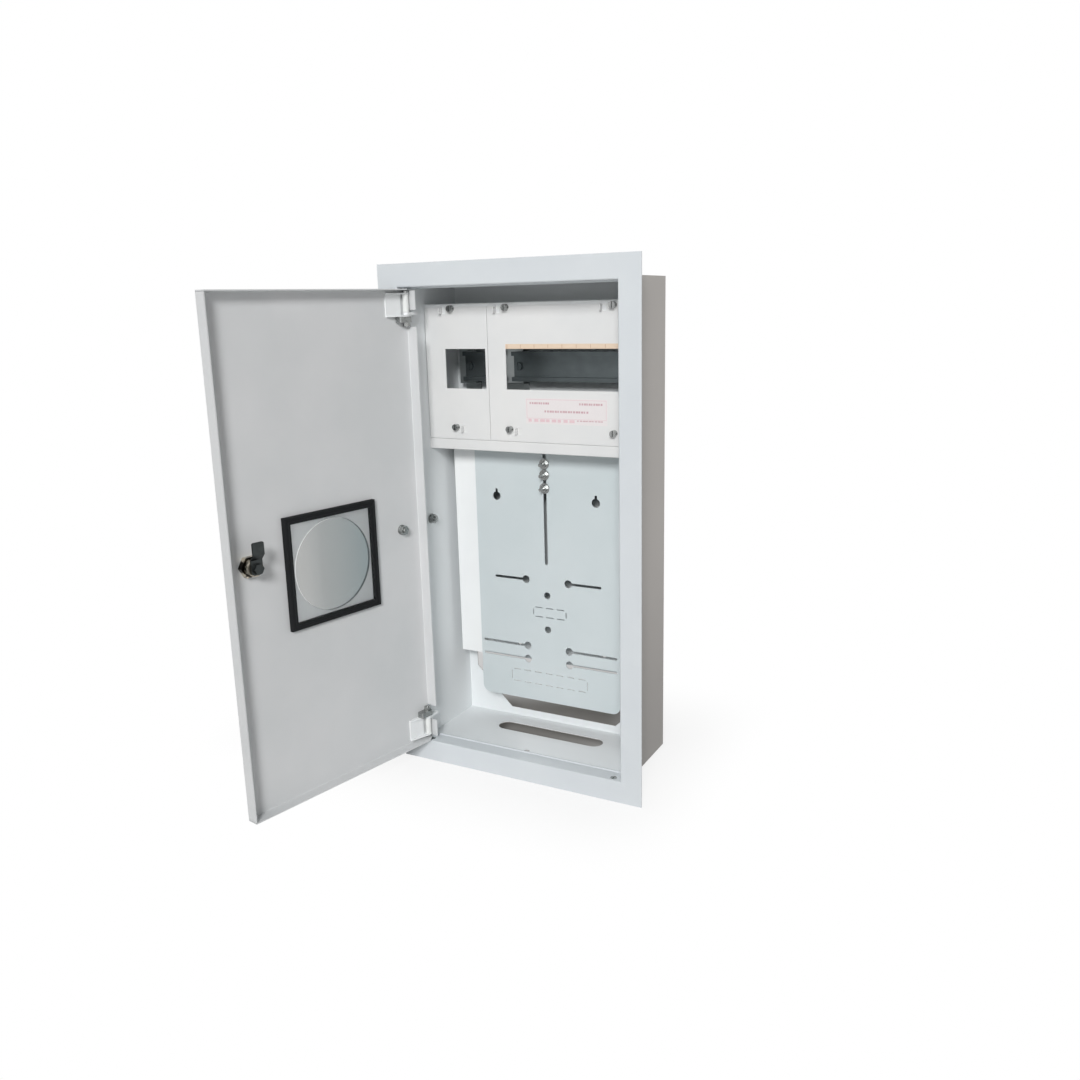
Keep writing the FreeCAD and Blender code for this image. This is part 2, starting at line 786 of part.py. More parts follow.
def sealing_lug(x, z):
    """A tab folded forward about an upright line, and the gap that it leaves beside it."""
    low = z - lug_width / 2
    high = z + lug_width / 2
    half = cover_sheet / 2
    tab = box(x - half, x + half, cover_setback - lug_depth, cover_back, low, high)
    tab = tab.makeFillet(cover_sheet, [edge for edge in edges_at(tab, "Y", cover_setback - lug_depth)
                                       if edge.Length < cover_sheet + edge_margin])
    tab = tab.cut(rod(V(x - half - overcut, cover_setback - lug_depth / 2, z), X_AXIS, seal_hole_radius,
                      cover_sheet + 2 * overcut))
    return tab, box(x + half, x + half + lug_window, cover_setback - overcut, cover_back + overcut,
                    low, high)


def breaker_cover():
    return cover(cover_left, seam_x - cover_seam / 2, breaker_window_low_x, breaker_window_high_x,
                 [breaker_screw_x], [(breaker_low_x, True)])


def module_cover():
    return cover(seam_x + cover_seam / 2, cover_right, module_window_low_x, module_window_high_x,
                 [module_left_x, module_right_x], [(module_low_x, True), (module_right_x, False)])


def sealed_screw(x, z):
    """A cover screw with a tall head, cross-drilled for a sealing wire."""
    screw = pan_screw(V(x, cover_setback, z), Y_AXIS, cover_screw_radius, cover_screw_length,
                      cover_screw_head_radius, cover_screw_head_height)
    wire_hole = rod(V(x - cover_screw_head_radius - overcut, cover_setback - seal_hole_rise, z), X_AXIS,
                    seal_hole_radius, 2 * (cover_screw_head_radius + overcut))
    return screw.cut(wire_hole)


def breaker_cover_screws():
    return [sealed_screw(breaker_screw_x, top_screw_z), sealed_screw(breaker_low_x, low_screw_z)]


def module_cover_screws():
    places = [(module_left_x, top_screw_z), (module_right_x, top_screw_z),
              (module_low_x, low_screw_z), (module_right_x, low_screw_z)]
    return [sealed_screw(x, z) for x, z in places]


def screw_holes(places):
    return [through_y(x, z, cover_screw_radius + fit_clearance, cover_back - overcut,
                      cover_back + body_sheet + overcut) for x, z in places]


def cover_support():
    """The upper rail behind the covers' top edge, an angle from wall to wall."""
    high = cover_top + support_rise
    low = high - support_height
    face = cover_back + body_sheet
    rail = prism("x", -inner_x, inner_x, [
        (cover_back, low), (face, low), (face, high - body_sheet),
        (cover_back + support_depth, high - body_sheet), (cover_back + support_depth, high),
        (cover_back, high)])
    bend = [edge for edge in rail.Edges if edge.Length > inner_x
            and abs(edge.CenterOfMass.y - cover_back) < edge_margin
            and abs(edge.CenterOfMass.z - high) < edge_margin]
    rail = rail.makeFillet(body_sheet, bend)
    return rail.cut(screw_holes([(x, top_screw_z) for x in (breaker_screw_x, module_left_x, module_right_x)]))


def cross_rail():
    """The rail between the compartments, joggled so that the covers lie flush with it."""
    sheet = body_sheet
    front = cover_setback
    rail = prism("x", -inner_x, inner_x, [
        (front, cross_bottom), (front + cross_depth, cross_bottom),
        (front + cross_depth, cross_bottom + sheet), (front + sheet, cross_bottom + sheet),
        (front + sheet, cross_top - sheet),
        (cover_back + sheet, cross_top - sheet), (cover_back + sheet, cross_top + cross_upper),
        (cover_back, cross_top + cross_upper), (cover_back, cross_top), (front, cross_top)])
    bends = [edge for edge in rail.Edges
             if edge.Length > inner_x and abs(edge.CenterOfMass.y - front) < edge_margin]
    rail = rail.makeFillet(cross_bend, bends)
    return rail.cut(screw_holes([(x, low_screw_z) for x in (breaker_low_x, module_low_x, module_right_x)]))


def circuit_strip():
    return box(module_window_low_x, module_window_high_x, cover_setback - strip_thickness, cover_setback,
               cover_window_high, cover_window_high + strip_height)


def notice():
    low_x = module_window_low_x + notice_inset
    high_z = cover_window_low - notice_drop
    return box(low_x, low_x + notice_width, cover_setback - notice_thickness, cover_setback,
               high_z - notice_height, high_z)


def din_rail(start, length):
    """A top-hat rail with a screw hole near each end."""
    edge = rail_width / 2
    web = rail_web / 2
    front = rail_y
    back = rail_back
    half = [(front, -edge), (front + rail_sheet, -edge), (front + rail_sheet, -web),
            (back, -web), (back, web), (front + rail_sheet, web), (front + rail_sheet, edge),
            (front, edge), (front, web - rail_sheet), (back - rail_sheet, web - rail_sheet),
            (back - rail_sheet, rail_sheet - web), (front, rail_sheet - web)]
    rail = prism("x", start, start + length, [(y, rail_z + z) for y, z in half])
    return rail.cut([through_y(x, rail_z, rail_screw_radius + fit_clearance, front, back + overcut)
                     for x in (start + rail_hole_inset, start + length - rail_hole_inset)])


def short_rail():
    return din_rail(short_rail_x, short_rail_length)


def long_rail():
    return din_rail(long_rail_x, long_rail_end - long_rail_x)


def rail_screw_places():
    return [short_rail_x + rail_hole_inset, short_rail_end - rail_hole_inset,
            long_rail_x + rail_hole_inset, long_rail_end - rail_hole_inset]


def rail_screws():
    return [pan_screw(V(x, rail_back - rail_sheet, rail_z), Y_AXIS, rail_screw_radius, rail_screw_length,
                      rail_screw_head_radius, rail_screw_head_height) for x in rail_screw_places()]


def rail_bracket(low_x, high_x):
    """A stand-off bracket: feet on the back wall, two legs and a top under the rail."""
    sheet = rail_bracket_sheet
    half = rail_bracket_height / 2
    foot = half + rail_bracket_foot
    outline = [(back_y, -foot), (back_y, sheet - half), (rail_back + sheet, sheet - half),
               (rail_back + sheet, half - sheet), (back_y, half - sheet), (back_y, foot),
               (back_y - sheet, foot), (back_y - sheet, half), (rail_back, half), (rail_back, -half),
               (back_y - sheet, -half), (back_y - sheet, -foot)]
    bracket = prism("x", low_x, high_x, [(y, rail_z + z) for y, z in outline])
    bends = [edge for edge in bracket.Edges if abs(edge.CenterOfMass.y - rail_back) < edge_margin
             and edge.Length > high_x - low_x - edge_margin
             and abs(abs(edge.CenterOfMass.z - rail_z) - half) < edge_margin]
    bracket = bracket.makeFillet(sheet, bends)
    holes = [through_y(x, rail_z, rail_screw_radius + fit_clearance, rail_back - overcut,
                       rail_back + sheet + overcut) for x in rail_screw_places() if low_x < x < high_x]
    return bracket.cut(holes)


def rail_bracket_left():
    low = short_rail_x - rail_bracket_lead
    return rail_bracket(low, low + rail_bracket_width)


def rail_bracket_middle():
    return rail_bracket(short_rail_end - 2 * rail_bracket_margin, long_rail_x + 2 * rail_bracket_margin)


def rail_bracket_right():
    high = long_rail_end + rail_bracket_margin
    return rail_bracket(high - rail_bracket_width, high)


def dashed_outline(centre_x, centre_z, size):
    """The cuts of a knock-out: short lines with bridges that still hold the piece."""
    half_x = size[0] / 2
    half_z = size[1] / 2
    line = knockout_line / 2
    low = plate_setback - overcut
    high = plate_back + overcut
    columns = max(2, round(size[0] / knockout_dash))
    dash = size[0] / columns
    cuts = []
    for step in range(columns):
        start = centre_x - half_x + dash * step + knockout_bridge / 2
        for z in (centre_z - half_z, centre_z + half_z):
            cuts.append(box(start, start + dash - knockout_bridge, low, high, z - line, z + line))
    for x in (centre_x - half_x, centre_x + half_x):
        cuts.append(box(x - line, x + line, low, high,
                        centre_z - half_z + knockout_bridge / 2, centre_z + half_z - knockout_bridge / 2))
    return cuts


def sliding_slots(z, end):
    """A pair of level slots for the meter's lower screws, each entered at a round eye."""
    low = plate_setback - overcut
    high = plate_back + overcut
    cuts = []
    for side in (-1, 1):
        start, finish = sorted((side * slide_eye_span, side * end))
        cuts.append(slot_y(start, finish, z, slide_slot_width, low, high))
        cuts.append(through_y(side * slide_eye_span, z, slide_eye_radius, low, high))
    return cuts


def meter_slot_high():
    return plate_top - meter_slot_top


def meter_plate():
    """The plate that carries the meter, with its slots, holes, knock-outs and hooks."""
    low = plate_setback - overcut
    high = plate_back + overcut
    plate = box(-plate_x, plate_x, plate_setback, plate_back, plate_bottom, plate_top)
    corners = [edge for edge in plate.Edges if abs(edge.Length - plate_sheet) < edge_margin
               and edge.CenterOfMass.z < plate_bottom + edge_margin]
    plate = plate.makeFillet(plate_corner, corners)
    half = meter_slot_width / 2
    slot_high = meter_slot_high()
    slot_low = slot_high - meter_slot_length
    cuts = [box(-half, half, low, high, slot_low + half, slot_high - half),
            through_y(0, slot_low + half, half, low, high), through_y(0, slot_high - half, half, low, high)]
    keyhole_z = plate_top - keyhole_drop
    neck = keyhole_neck / 2
    for x in (keyhole_edge_distance - plate_x, plate_x - keyhole_edge_distance):
        cuts.append(through_y(x, keyhole_z, keyhole_radius, low, high))
        cuts.append(box(x - neck, x + neck, low, high, keyhole_z, keyhole_z + keyhole_neck_rise))
        cuts.append(through_y(x, keyhole_z + keyhole_neck_rise, neck, low, high))
        cuts.append(through_y(math.copysign(plate_x - plate_screw_inset, x), plate_top - plate_screw_drop,
                              plate_screw_radius + fit_clearance, low, high))
    for z in (plate_top - centre_hole_drop, plate_bottom + centre_hole_lift):
        cuts.append(through_y(0, z, centre_hole_radius, low, high))
    cuts += sliding_slots(plate_top - upper_slide_drop, plate_x - upper_slide_margin)
    for lift in lower_slide_lifts:
        cuts += sliding_slots(plate_bottom + lift, plate_x - lower_slide_margin)
    cuts += dashed_outline(small_knockout_shift, plate_top - small_knockout_drop, small_knockout)
    cuts += dashed_outline(0, plate_bottom + wide_knockout_lift, wide_knockout)
    plate = plate.cut(cuts)
    return joined(plate, plate_hook(), mirrored(plate_hook(), X_AXIS))


def plate_hook():
    """A tab on the plate's left edge that goes through the channel and hangs behind it."""
    low = plate_bottom + hook_lift
    behind = plate_back + channel_sheet + hook_play
    arm = box(-plate_x, plate_sheet - plate_x, plate_setback, plate_back + hook_depth, low, low + hook_height)
    tongue = box(-plate_x, plate_sheet - plate_x, behind, plate_back + hook_depth, low - hook_tongue, low)
    return joined(arm, tongue)


def plate_channel_left():
    """The left channel: a flange behind the plate, a web and a foot on the back wall."""
    edge = -channel_x
    sheet = channel_sheet
    front = plate_back
    channel = prism("z", channel_bottom, channel_top, [
        (edge, front), (-channel_edge, front), (-channel_edge, front + sheet),
        (edge + sheet, front + sheet), (edge + sheet, back_y - sheet), (edge + channel_foot, back_y - sheet),
        (edge + channel_foot, back_y), (edge, back_y)])
    bends = [item for item in channel.Edges if item.Length > channel_top - channel_bottom - edge_margin
             and abs(item.CenterOfMass.x - edge) < edge_margin]
    channel = channel.makeFillet(sheet, bends)
    through = (front - overcut, front + sheet + overcut)
    hook_low = plate_bottom + hook_lift - hook_tongue - hook_play
    hook_high = plate_bottom + hook_lift + hook_height + hook_play
    cuts = [box(-plate_x - hook_play, plate_sheet - plate_x + hook_play, *through, hook_low, hook_high),
            through_y(plate_screw_inset - plate_x, plate_top - plate_screw_drop,
                      plate_screw_radius + fit_clearance, *through)]
    room = slide_nut_room / 2
    slots = [plate_bottom + lift for lift in lower_slide_lifts]
    cuts.append(box(lower_slide_margin - plate_x - slide_slot_width / 2, overcut - channel_edge, *through,
                    min(slots) - room, max(slots) + room))
    return channel.cut(cuts)


def plate_screw_places():
    z = plate_top - plate_screw_drop
    return [(side * (plate_x - plate_screw_inset), z) for side in (-1, 1)]


def plate_screws():
    return [pan_screw(V(x, plate_setback, z), Y_AXIS, plate_screw_radius, plate_screw_length,
                      plate_screw_head_radius, plate_screw_head_height) for x, z in plate_screw_places()]


def plate_nuts():
    return [nut(V(x, plate_back + channel_sheet, z), Y_AXIS, plate_nut_flats, plate_nut_height,
                plate_screw_radius + fit_clearance) for x, z in plate_screw_places()]


def meter_screws():
    """Screws from behind the plate, for the meter's top hanger."""
    return [pan_screw(V(0, plate_back, plate_top - drop), -Y_AXIS, meter_screw_radius,
                      plate_sheet + meter_screw_reach, meter_screw_head_radius, meter_screw_head_height)
            for drop in meter_screw_drops]


def meter_washers():
    return [ring(V(0, plate_setback, plate_top - drop), -Y_AXIS, meter_washer_radius,
                 meter_screw_radius + fit_clearance, meter_washer_thickness) for drop in meter_screw_drops]


def meter_nuts():
    seat = plate_setback - meter_washer_thickness
    return [nut(V(0, seat, plate_top - drop), -Y_AXIS, meter_nut_flats, meter_nut_height,
                meter_screw_radius + fit_clearance) for drop in meter_screw_drops]


def opened(shape):
    """Swing a door piece from closed to the open position, about the hinge pins."""
    turned = shape.copy()
    turned.rotate(V(pin_x, pin_y, 0), Z_AXIS, -open_angle)
    return turned


def root_pieces():
    body_stud, body_hardware = stud_set(V(-inner_x, body_stud_setback, -body_stud_drop), X_AXIS)
    return {
        "body_shell": body_shell(),
        "front_frame": front_frame(),
        "frame_screws": frame_screws(),
        "frame_nuts": frame_nuts(),
        "lock_catch": lock_catch(),
        "hinge_plate_top": hinge_plate(),
        "hinge_plate_bottom": mirrored(hinge_plate(), Z_AXIS),
        "cover_support": cover_support(),
        "cross_rail": cross_rail(),
        "breaker_cover": breaker_cover(),
        "breaker_cover_screws": breaker_cover_screws(),
        "module_cover": module_cover(),
        "module_cover_screws": module_cover_screws(),
        "circuit_strip": circuit_strip(),
        "notice": notice(),
        "short_rail": short_rail(),
        "long_rail": long_rail(),
        "rail_bracket_left": rail_bracket_left(),
        "rail_bracket_middle": rail_bracket_middle(),
        "rail_bracket_right": rail_bracket_right(),
        "rail_screws": rail_screws(),
        "meter_plate": meter_plate(),
        "plate_channel_left": plate_channel_left(),
        "plate_channel_right": mirrored(plate_channel_left(), X_AXIS),
        "plate_screws": plate_screws(),
        "plate_nuts": plate_nuts(),
        "meter_screws": meter_screws(),
        "meter_washers": meter_washers(),
        "meter_nuts": meter_nuts(),
        "body_earth_stud": body_stud,
        "body_earth_hardware": body_hardware,
    }


def door_pieces():
    door_stud, door_hardware = stud_set(V(-door_x + door_stud_inset, door_sheet, -door_stud_drop), Y_AXIS)
    return {
        "door_panel": door_panel(),
        "window_pane": window_pane(),
        "window_gasket": window_gasket(),
        "door_hinge_bracket_top": door_hinge_bracket(),
        "door_hinge_bracket_bottom": mirrored(door_hinge_bracket(), Z_AXIS),
        "hinge_pin_top": hinge_pin(),
        "hinge_pin_bottom": mirrored(hinge_pin(), Z_AXIS),
        "hinge_strap_top": hinge_strap(),
        "hinge_strap_bottom": mirrored(hinge_strap(), Z_AXIS),
        "hinge_nut_top": hinge_nut(),
        "hinge_nut_bottom": mirrored(hinge_nut(), Z_AXIS),
        "hinge_bush_top": hinge_bush(),
        "hinge_bush_bottom": mirrored(hinge_bush(), Z_AXIS),
        "door_earth_stud": door_stud,
        "door_earth_hardware": door_hardware,
        "lock_housing": lock_housing(),
        "lock_nut": lock_nut(),
    }


def lock_pieces():
    return {"lock_plug": lock_plug(), "lock_cam": lock_cam(), "cam_bolt": cam_bolt()}


def grouped(piece):
    return Part.Compound(piece) if isinstance(piece, list) else piece


def main():
    os.makedirs("parts", exist_ok=True)
    pieces = {name: grouped(piece) for name, piece in root_pieces().items()}
    moving = {**door_pieces(), **lock_pieces()}
    pieces.update({name: opened(grouped(piece)) for name, piece in moving.items()})
    for name, shape in pieces.items():
        moved = shape.copy()
        moved.translate(V(0, -body_depth, -fixing_middle))
        moved.exportStep("parts/" + name + ".step")


main()
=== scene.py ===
"""Finishes for a recessed electric meter box: powder coat, zinc, rubber, clear sheet and print."""

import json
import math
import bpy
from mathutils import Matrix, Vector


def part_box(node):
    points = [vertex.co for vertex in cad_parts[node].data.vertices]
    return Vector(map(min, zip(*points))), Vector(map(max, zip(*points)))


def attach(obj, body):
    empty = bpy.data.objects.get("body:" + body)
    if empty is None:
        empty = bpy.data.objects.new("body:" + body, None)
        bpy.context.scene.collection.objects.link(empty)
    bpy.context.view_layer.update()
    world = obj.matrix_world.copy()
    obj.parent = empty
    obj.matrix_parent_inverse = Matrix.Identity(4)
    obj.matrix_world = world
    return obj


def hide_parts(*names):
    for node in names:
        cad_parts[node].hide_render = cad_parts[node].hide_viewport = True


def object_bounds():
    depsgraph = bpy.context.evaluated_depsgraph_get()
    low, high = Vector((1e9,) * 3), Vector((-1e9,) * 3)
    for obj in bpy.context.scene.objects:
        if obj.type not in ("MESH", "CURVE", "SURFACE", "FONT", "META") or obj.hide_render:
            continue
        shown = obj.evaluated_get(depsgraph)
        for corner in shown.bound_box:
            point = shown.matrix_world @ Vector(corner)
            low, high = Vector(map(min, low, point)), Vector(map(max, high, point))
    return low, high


bl_info = {
    "name": "Electric Meter Box",
    "version": (1, 0, 0),
    "blender": (4, 5, 0),
    "location": "View3D > Sidebar > Meter Box",
    "description": "Finishes and small parts for a recessed sheet-metal meter box",
    "category": "Object",
}

import bmesh
import bpy
from bpy.props import FloatProperty, FloatVectorProperty, PointerProperty
from bpy.types import Operator, Panel, PropertyGroup
from mathutils import Matrix, Vector

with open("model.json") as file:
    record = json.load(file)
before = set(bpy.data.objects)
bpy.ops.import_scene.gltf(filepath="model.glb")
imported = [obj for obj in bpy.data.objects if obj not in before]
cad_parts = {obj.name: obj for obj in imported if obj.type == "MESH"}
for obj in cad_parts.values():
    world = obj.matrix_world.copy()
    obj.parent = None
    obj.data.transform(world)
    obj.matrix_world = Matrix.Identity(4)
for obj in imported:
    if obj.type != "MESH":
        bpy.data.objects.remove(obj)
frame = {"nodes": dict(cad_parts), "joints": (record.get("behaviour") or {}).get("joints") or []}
CAD_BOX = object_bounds()
NODES = frame["nodes"]
HINGE = next(joint for joint in frame["joints"] if joint["name"] == "door_hinge")

MM = 0.001

# The photograph's camera: place in metres, angles in degrees, lens on a 36 mm sensor
CAMERA_PLACE = Vector((0.5404, -1.0537, 0.2252))
CAMERA_YAW = 28.311
CAMERA_PITCH = 13.444
CAMERA_ROLL = -1.408
CAMERA_LENS = 32.643
SENSOR_WIDTH = 36.0
CAMERA_NEAR = 0.05
CAMERA_FAR = 60.0

# How far the floor reaches from its middle, and how far it lies under the box, in metres
FLOOR_REACH = 9.0
FLOOR_GAP = 0.5 * MM
# Width of the floor's faint mottle
FLOOR_MOTTLE_MM = 400
# The line of sight past the box's right side, from the Y axis
SIGHT_TURN = math.radians(-21)
# The soft edges of the shaded ground, each with its axis, its outer line and its inner line in
# metres. The last two patches lie along the line of sight.
AROUND_EDGES = (("X", 0.24, 0.10), ("X", -0.28, -0.12), ("Y", -0.28, -0.10), ("Y", 0.26, 0.04))
BEHIND_EDGES = (("X", 0.102, 0.05), ("X", -0.5, -0.1), ("Y", -0.10, 0.02), ("Y", 1.2, 0.2))
BENEATH_EDGES = (("X", 0.102, 0.080), ("X", -0.3, -0.14), ("Y", -0.08, -0.01), ("Y", 0.26, 0.09))
# How much of the box's soft shadow shows on the white floor around it
SHADOW_SHARE = 0.18
# How much of it shows behind the box, where the slots look through
DEEP_SHADOW_SHARE = 0.5

# Refractive index of each finish that isn't a metal
COAT_IOR = 1.5
FILM_IOR = 1.5
RUBBER_IOR = 1.52
ACRYLIC_IOR = 1.49

# Width of the orange peel in the powder coat. The real one is about 0.5 mm wide, which is too fine
# to show at this distance, so it is drawn coarser.
PEEL_MM = 2.2
PEEL_DEPTH_MM = 0.1
PEEL_STRENGTH = 0.12
# Where the peel's noise starts and ends to change the gloss, and by how much it does
PEEL_SPAN = (0.3, 0.7)
COAT_GLOSS_SPREAD = 0.05
# Width of the powder's clouds, on flat sheet and inside the shell: about a stroke of the spray gun
COAT_CLOUD_MM = 90
SHELL_CLOUD_MM = 120
# Which part of the clouds' noise turns the colour from one to the other
COAT_CLOUD_SPAN = (0.35, 0.65)
WHOLE_SPAN = (0.0, 1.0)
# Depth under the shell's outer faces that counts as their skin: half of its sheet
SHELL_SKIN_MM = 0.6
SHELL_ROUGHNESS = (0.42, 0.62)
# Upper edge of the painted shade on the shell's outside, from the shell's middle, and its
# unevenness
LOW_SHADE_START_MM = -20
LOW_SHADE_CLOUD = 0.2

# Width of the grain in a plated skin, and of its clouds and scratches against that grain. Real
# scratches are under 0.1 mm wide, too fine to show, so they are drawn coarser.
PLATE_GRAIN_MM = 1.6
PLATE_CLOUD_GRAINS = 3
PLATE_SCRATCH_GRAINS = 0.25
PLATE_SCRATCH_DEPTH_MM = 0.05
PLATE_SCRATCH_STRENGTH = 0.1
PLATE_GLOSS_SPREAD = 0.1

# Grain in the rubber's skin. The real one is about 0.2 mm wide, too fine to show, so it is coarser.
RUBBER_GRAIN_MM = 0.8
RUBBER_GRAIN_DEPTH_MM = 0.1
RUBBER_GRAIN_STRENGTH = 0.3
# Width of the patches that the bloom leaves, about a fingertip
RUBBER_BLOOM_MM = 14
RUBBER_ROUGHNESS = 0.75
RUBBER_SPECULAR = 0.25

# The smoked film's edge, out from its middle: full up to the first radius, none past the second
SMOKE_EDGE_MM = (50.8, 51.8)
# A painted reflection turns the film cool across the pane, between two lines this far in from its
# sides
REFLECTION_INSET_MM = 15
# Width of the haze that a wiping cloth leaves
ACRYLIC_WIPE_MM = 30
ACRYLIC_ROUGHNESS = (0.02, 0.12)

# Width of the thin spots in printed ink. Real ones are about 0.3 mm wide, too fine to show, so
# these are coarser.
FILM_CLOUD_MM = 3
FILM_RELIEF_MM = 0.05
FILM_RELIEF_STRENGTH = 0.1
FILM_ROUGHNESS = 0.45

# The notice's rows for each ink: start and end as shares of the width, top below the printed frame
# and height in mm, and the number of marks
NOTICE_ROWS = {
    "red_ink": ((0.04, 0.30, 3.4, 2.2, 9), (0.67, 0.96, 3.4, 2.2, 10), (0.23, 0.79, 12.4, 2.2, 17),
                (0.64, 0.97, 22.6, 1.2, 9)),
    "pale_red_ink": ((0.02, 0.62, 22.4, 3.2, 8),),
}
FRAME_INK = "pale_red_ink"
# Bare film at the sides and top of the notice, and below its printed frame
NOTICE_MARGIN = 1.2 * MM
NOTICE_FOOT = 6 * MM
# A mark fills at least this share of its place, and the longest fills this much more
MARK_SHORTEST = 0.55
MARK_SPREAD = 0.3
# The marks take five lengths in turn, in an order that this stride gives
MARK_LENGTHS = 5
MARK_STRIDE = 7
# Bare film above and below a mark on the circuit strip
STRIP_MARGIN = 0.6 * MM

# Steps in one turn of a screw thread
THREAD_STEPS = 32
# As shares of the pitch: the plain ends of a thread together, its start past the nut, the ridge's
# radius, and how far the ridge's middle lies under the rod's face
THREAD_ENDS = 1.2
THREAD_START = 0.6
THREAD_RIDGE = 0.5
THREAD_SINK = 0.12

# How far in the middle of a round edge lies, as a share of its radius
ROUND_MIDDLE = 0.3
SHARP_ANGLE = math.radians(35)


def linear(colour):
    """Turn an sRGB hex colour to linear red, green, blue and alpha."""
    channels = [int(colour[start:start + 2], 16) / 255 for start in (1, 3, 5)]
    turned = [c / 12.92 if c <= 0.04045 else ((c + 0.055) / 1.055) ** 2.4 for c in channels]
    return (*turned, 1.0)


def picked_colour(name, description, colour):
    """A colour that the user can pick, which starts as an sRGB hex colour."""
    return FloatVectorProperty(name=name, description=description, default=linear(colour)[:3],
                               subtype="COLOR", size=3, min=0.0, max=1.0)


def finish_colour(colour):
    """A finish's colour, from an sRGB hex value or the name of a colour that the user can pick."""
    if colour.startswith("#"):
        return linear(colour)
    return (*getattr(bpy.context.scene.meter_box_colours, colour), 1.0)


def add_node(tree, kind, settings=None, values=None, links=None):
    """Add one shader node, with its settings, the values of its sockets and its links."""
    node = tree.nodes.new(kind)
    for name, value in (settings or {}).items():
        setattr(node, name, value)
    for name, value in (values or {}).items():
        node.inputs[name].default_value = value
    for name, socket in (links or {}).items():
        tree.links.new(socket, node.inputs[name])
    return node


def per_metre(size_mm):
    """The scale of a texture whose features measure this many millimetres."""
    return 1 / (size_mm * MM)


def start_material(name):
    """Start a material: the material, its node tree, and the place on the piece in metres."""
    material = bpy.data.materials.new(name)
    material.use_nodes = True
    tree = material.node_tree
    tree.nodes.clear()
    place = add_node(tree, "ShaderNodeTexCoord").outputs["Object"]
    return material, tree, place


def finish_material(tree, shader):
    """End a material with the shader that its surface shows."""
    add_node(tree, "ShaderNodeOutputMaterial", links={"Surface": shader.outputs[0]})


def clouded(tree, place, colours, size_mm, detail, span=WHOLE_SPAN):
    """A colour that drifts between two in soft clouds, and the noise that draws the clouds."""
    cloud = add_node(tree, "ShaderNodeTexNoise",
                     values={"Scale": per_metre(size_mm), "Detail": detail},
                     links={"Vector": place}).outputs["Fac"]
    share = add_node(tree, "ShaderNodeMapRange", values={"From Min": span[0], "From Max": span[1]},
                     links={"Value": cloud}).outputs["Result"]
    skin = add_node(tree, "ShaderNodeMix", {"data_type": "RGBA"},
                    {6: finish_colour(colours[0]), 7: finish_colour(colours[1])},
                    {0: share}).outputs[2]
    return skin, cloud


def grained(tree, place, size_mm, depth_mm, strength):
    """A surface with a fine relief, and the noise that draws the relief."""
    grain = add_node(tree, "ShaderNodeTexNoise",
                     values={"Scale": per_metre(size_mm), "Detail": 2.0},
                     links={"Vector": place}).outputs["Fac"]
    relief = add_node(tree, "ShaderNodeBump",
                      values={"Strength": strength, "Distance": depth_mm * MM},
                      links={"Height": grain}).outputs["Normal"]
    return relief, grain


def powder_coat(name, colour, shade, roughness, cloud_mm=COAT_CLOUD_MM):
    """Polyester powder, sprayed and baked: a matt white skin with a faint orange peel."""
    material, tree, place = start_material(name)
    skin, _ = clouded(tree, place, (colour, shade), cloud_mm, 3.0, COAT_CLOUD_SPAN)
    peel, speck = grained(tree, place, PEEL_MM, PEEL_DEPTH_MM, PEEL_STRENGTH)
    # The peel breaks the sheen up, so the eye sees a soft white with no clear reflection
    gloss = add_node(tree, "ShaderNodeMapRange",
                     values={"From Min": PEEL_SPAN[0], "From Max": PEEL_SPAN[1],
                             "To Min": roughness - COAT_GLOSS_SPREAD,
                             "To Max": roughness + COAT_GLOSS_SPREAD}, links={"Value": speck})
    finish_material(tree, add_node(
        tree, "ShaderNodeBsdfPrincipled", values={"IOR": COAT_IOR},
        links={"Base Color": skin, "Roughness": gloss.outputs["Result"], "Normal": peel}))
    return material


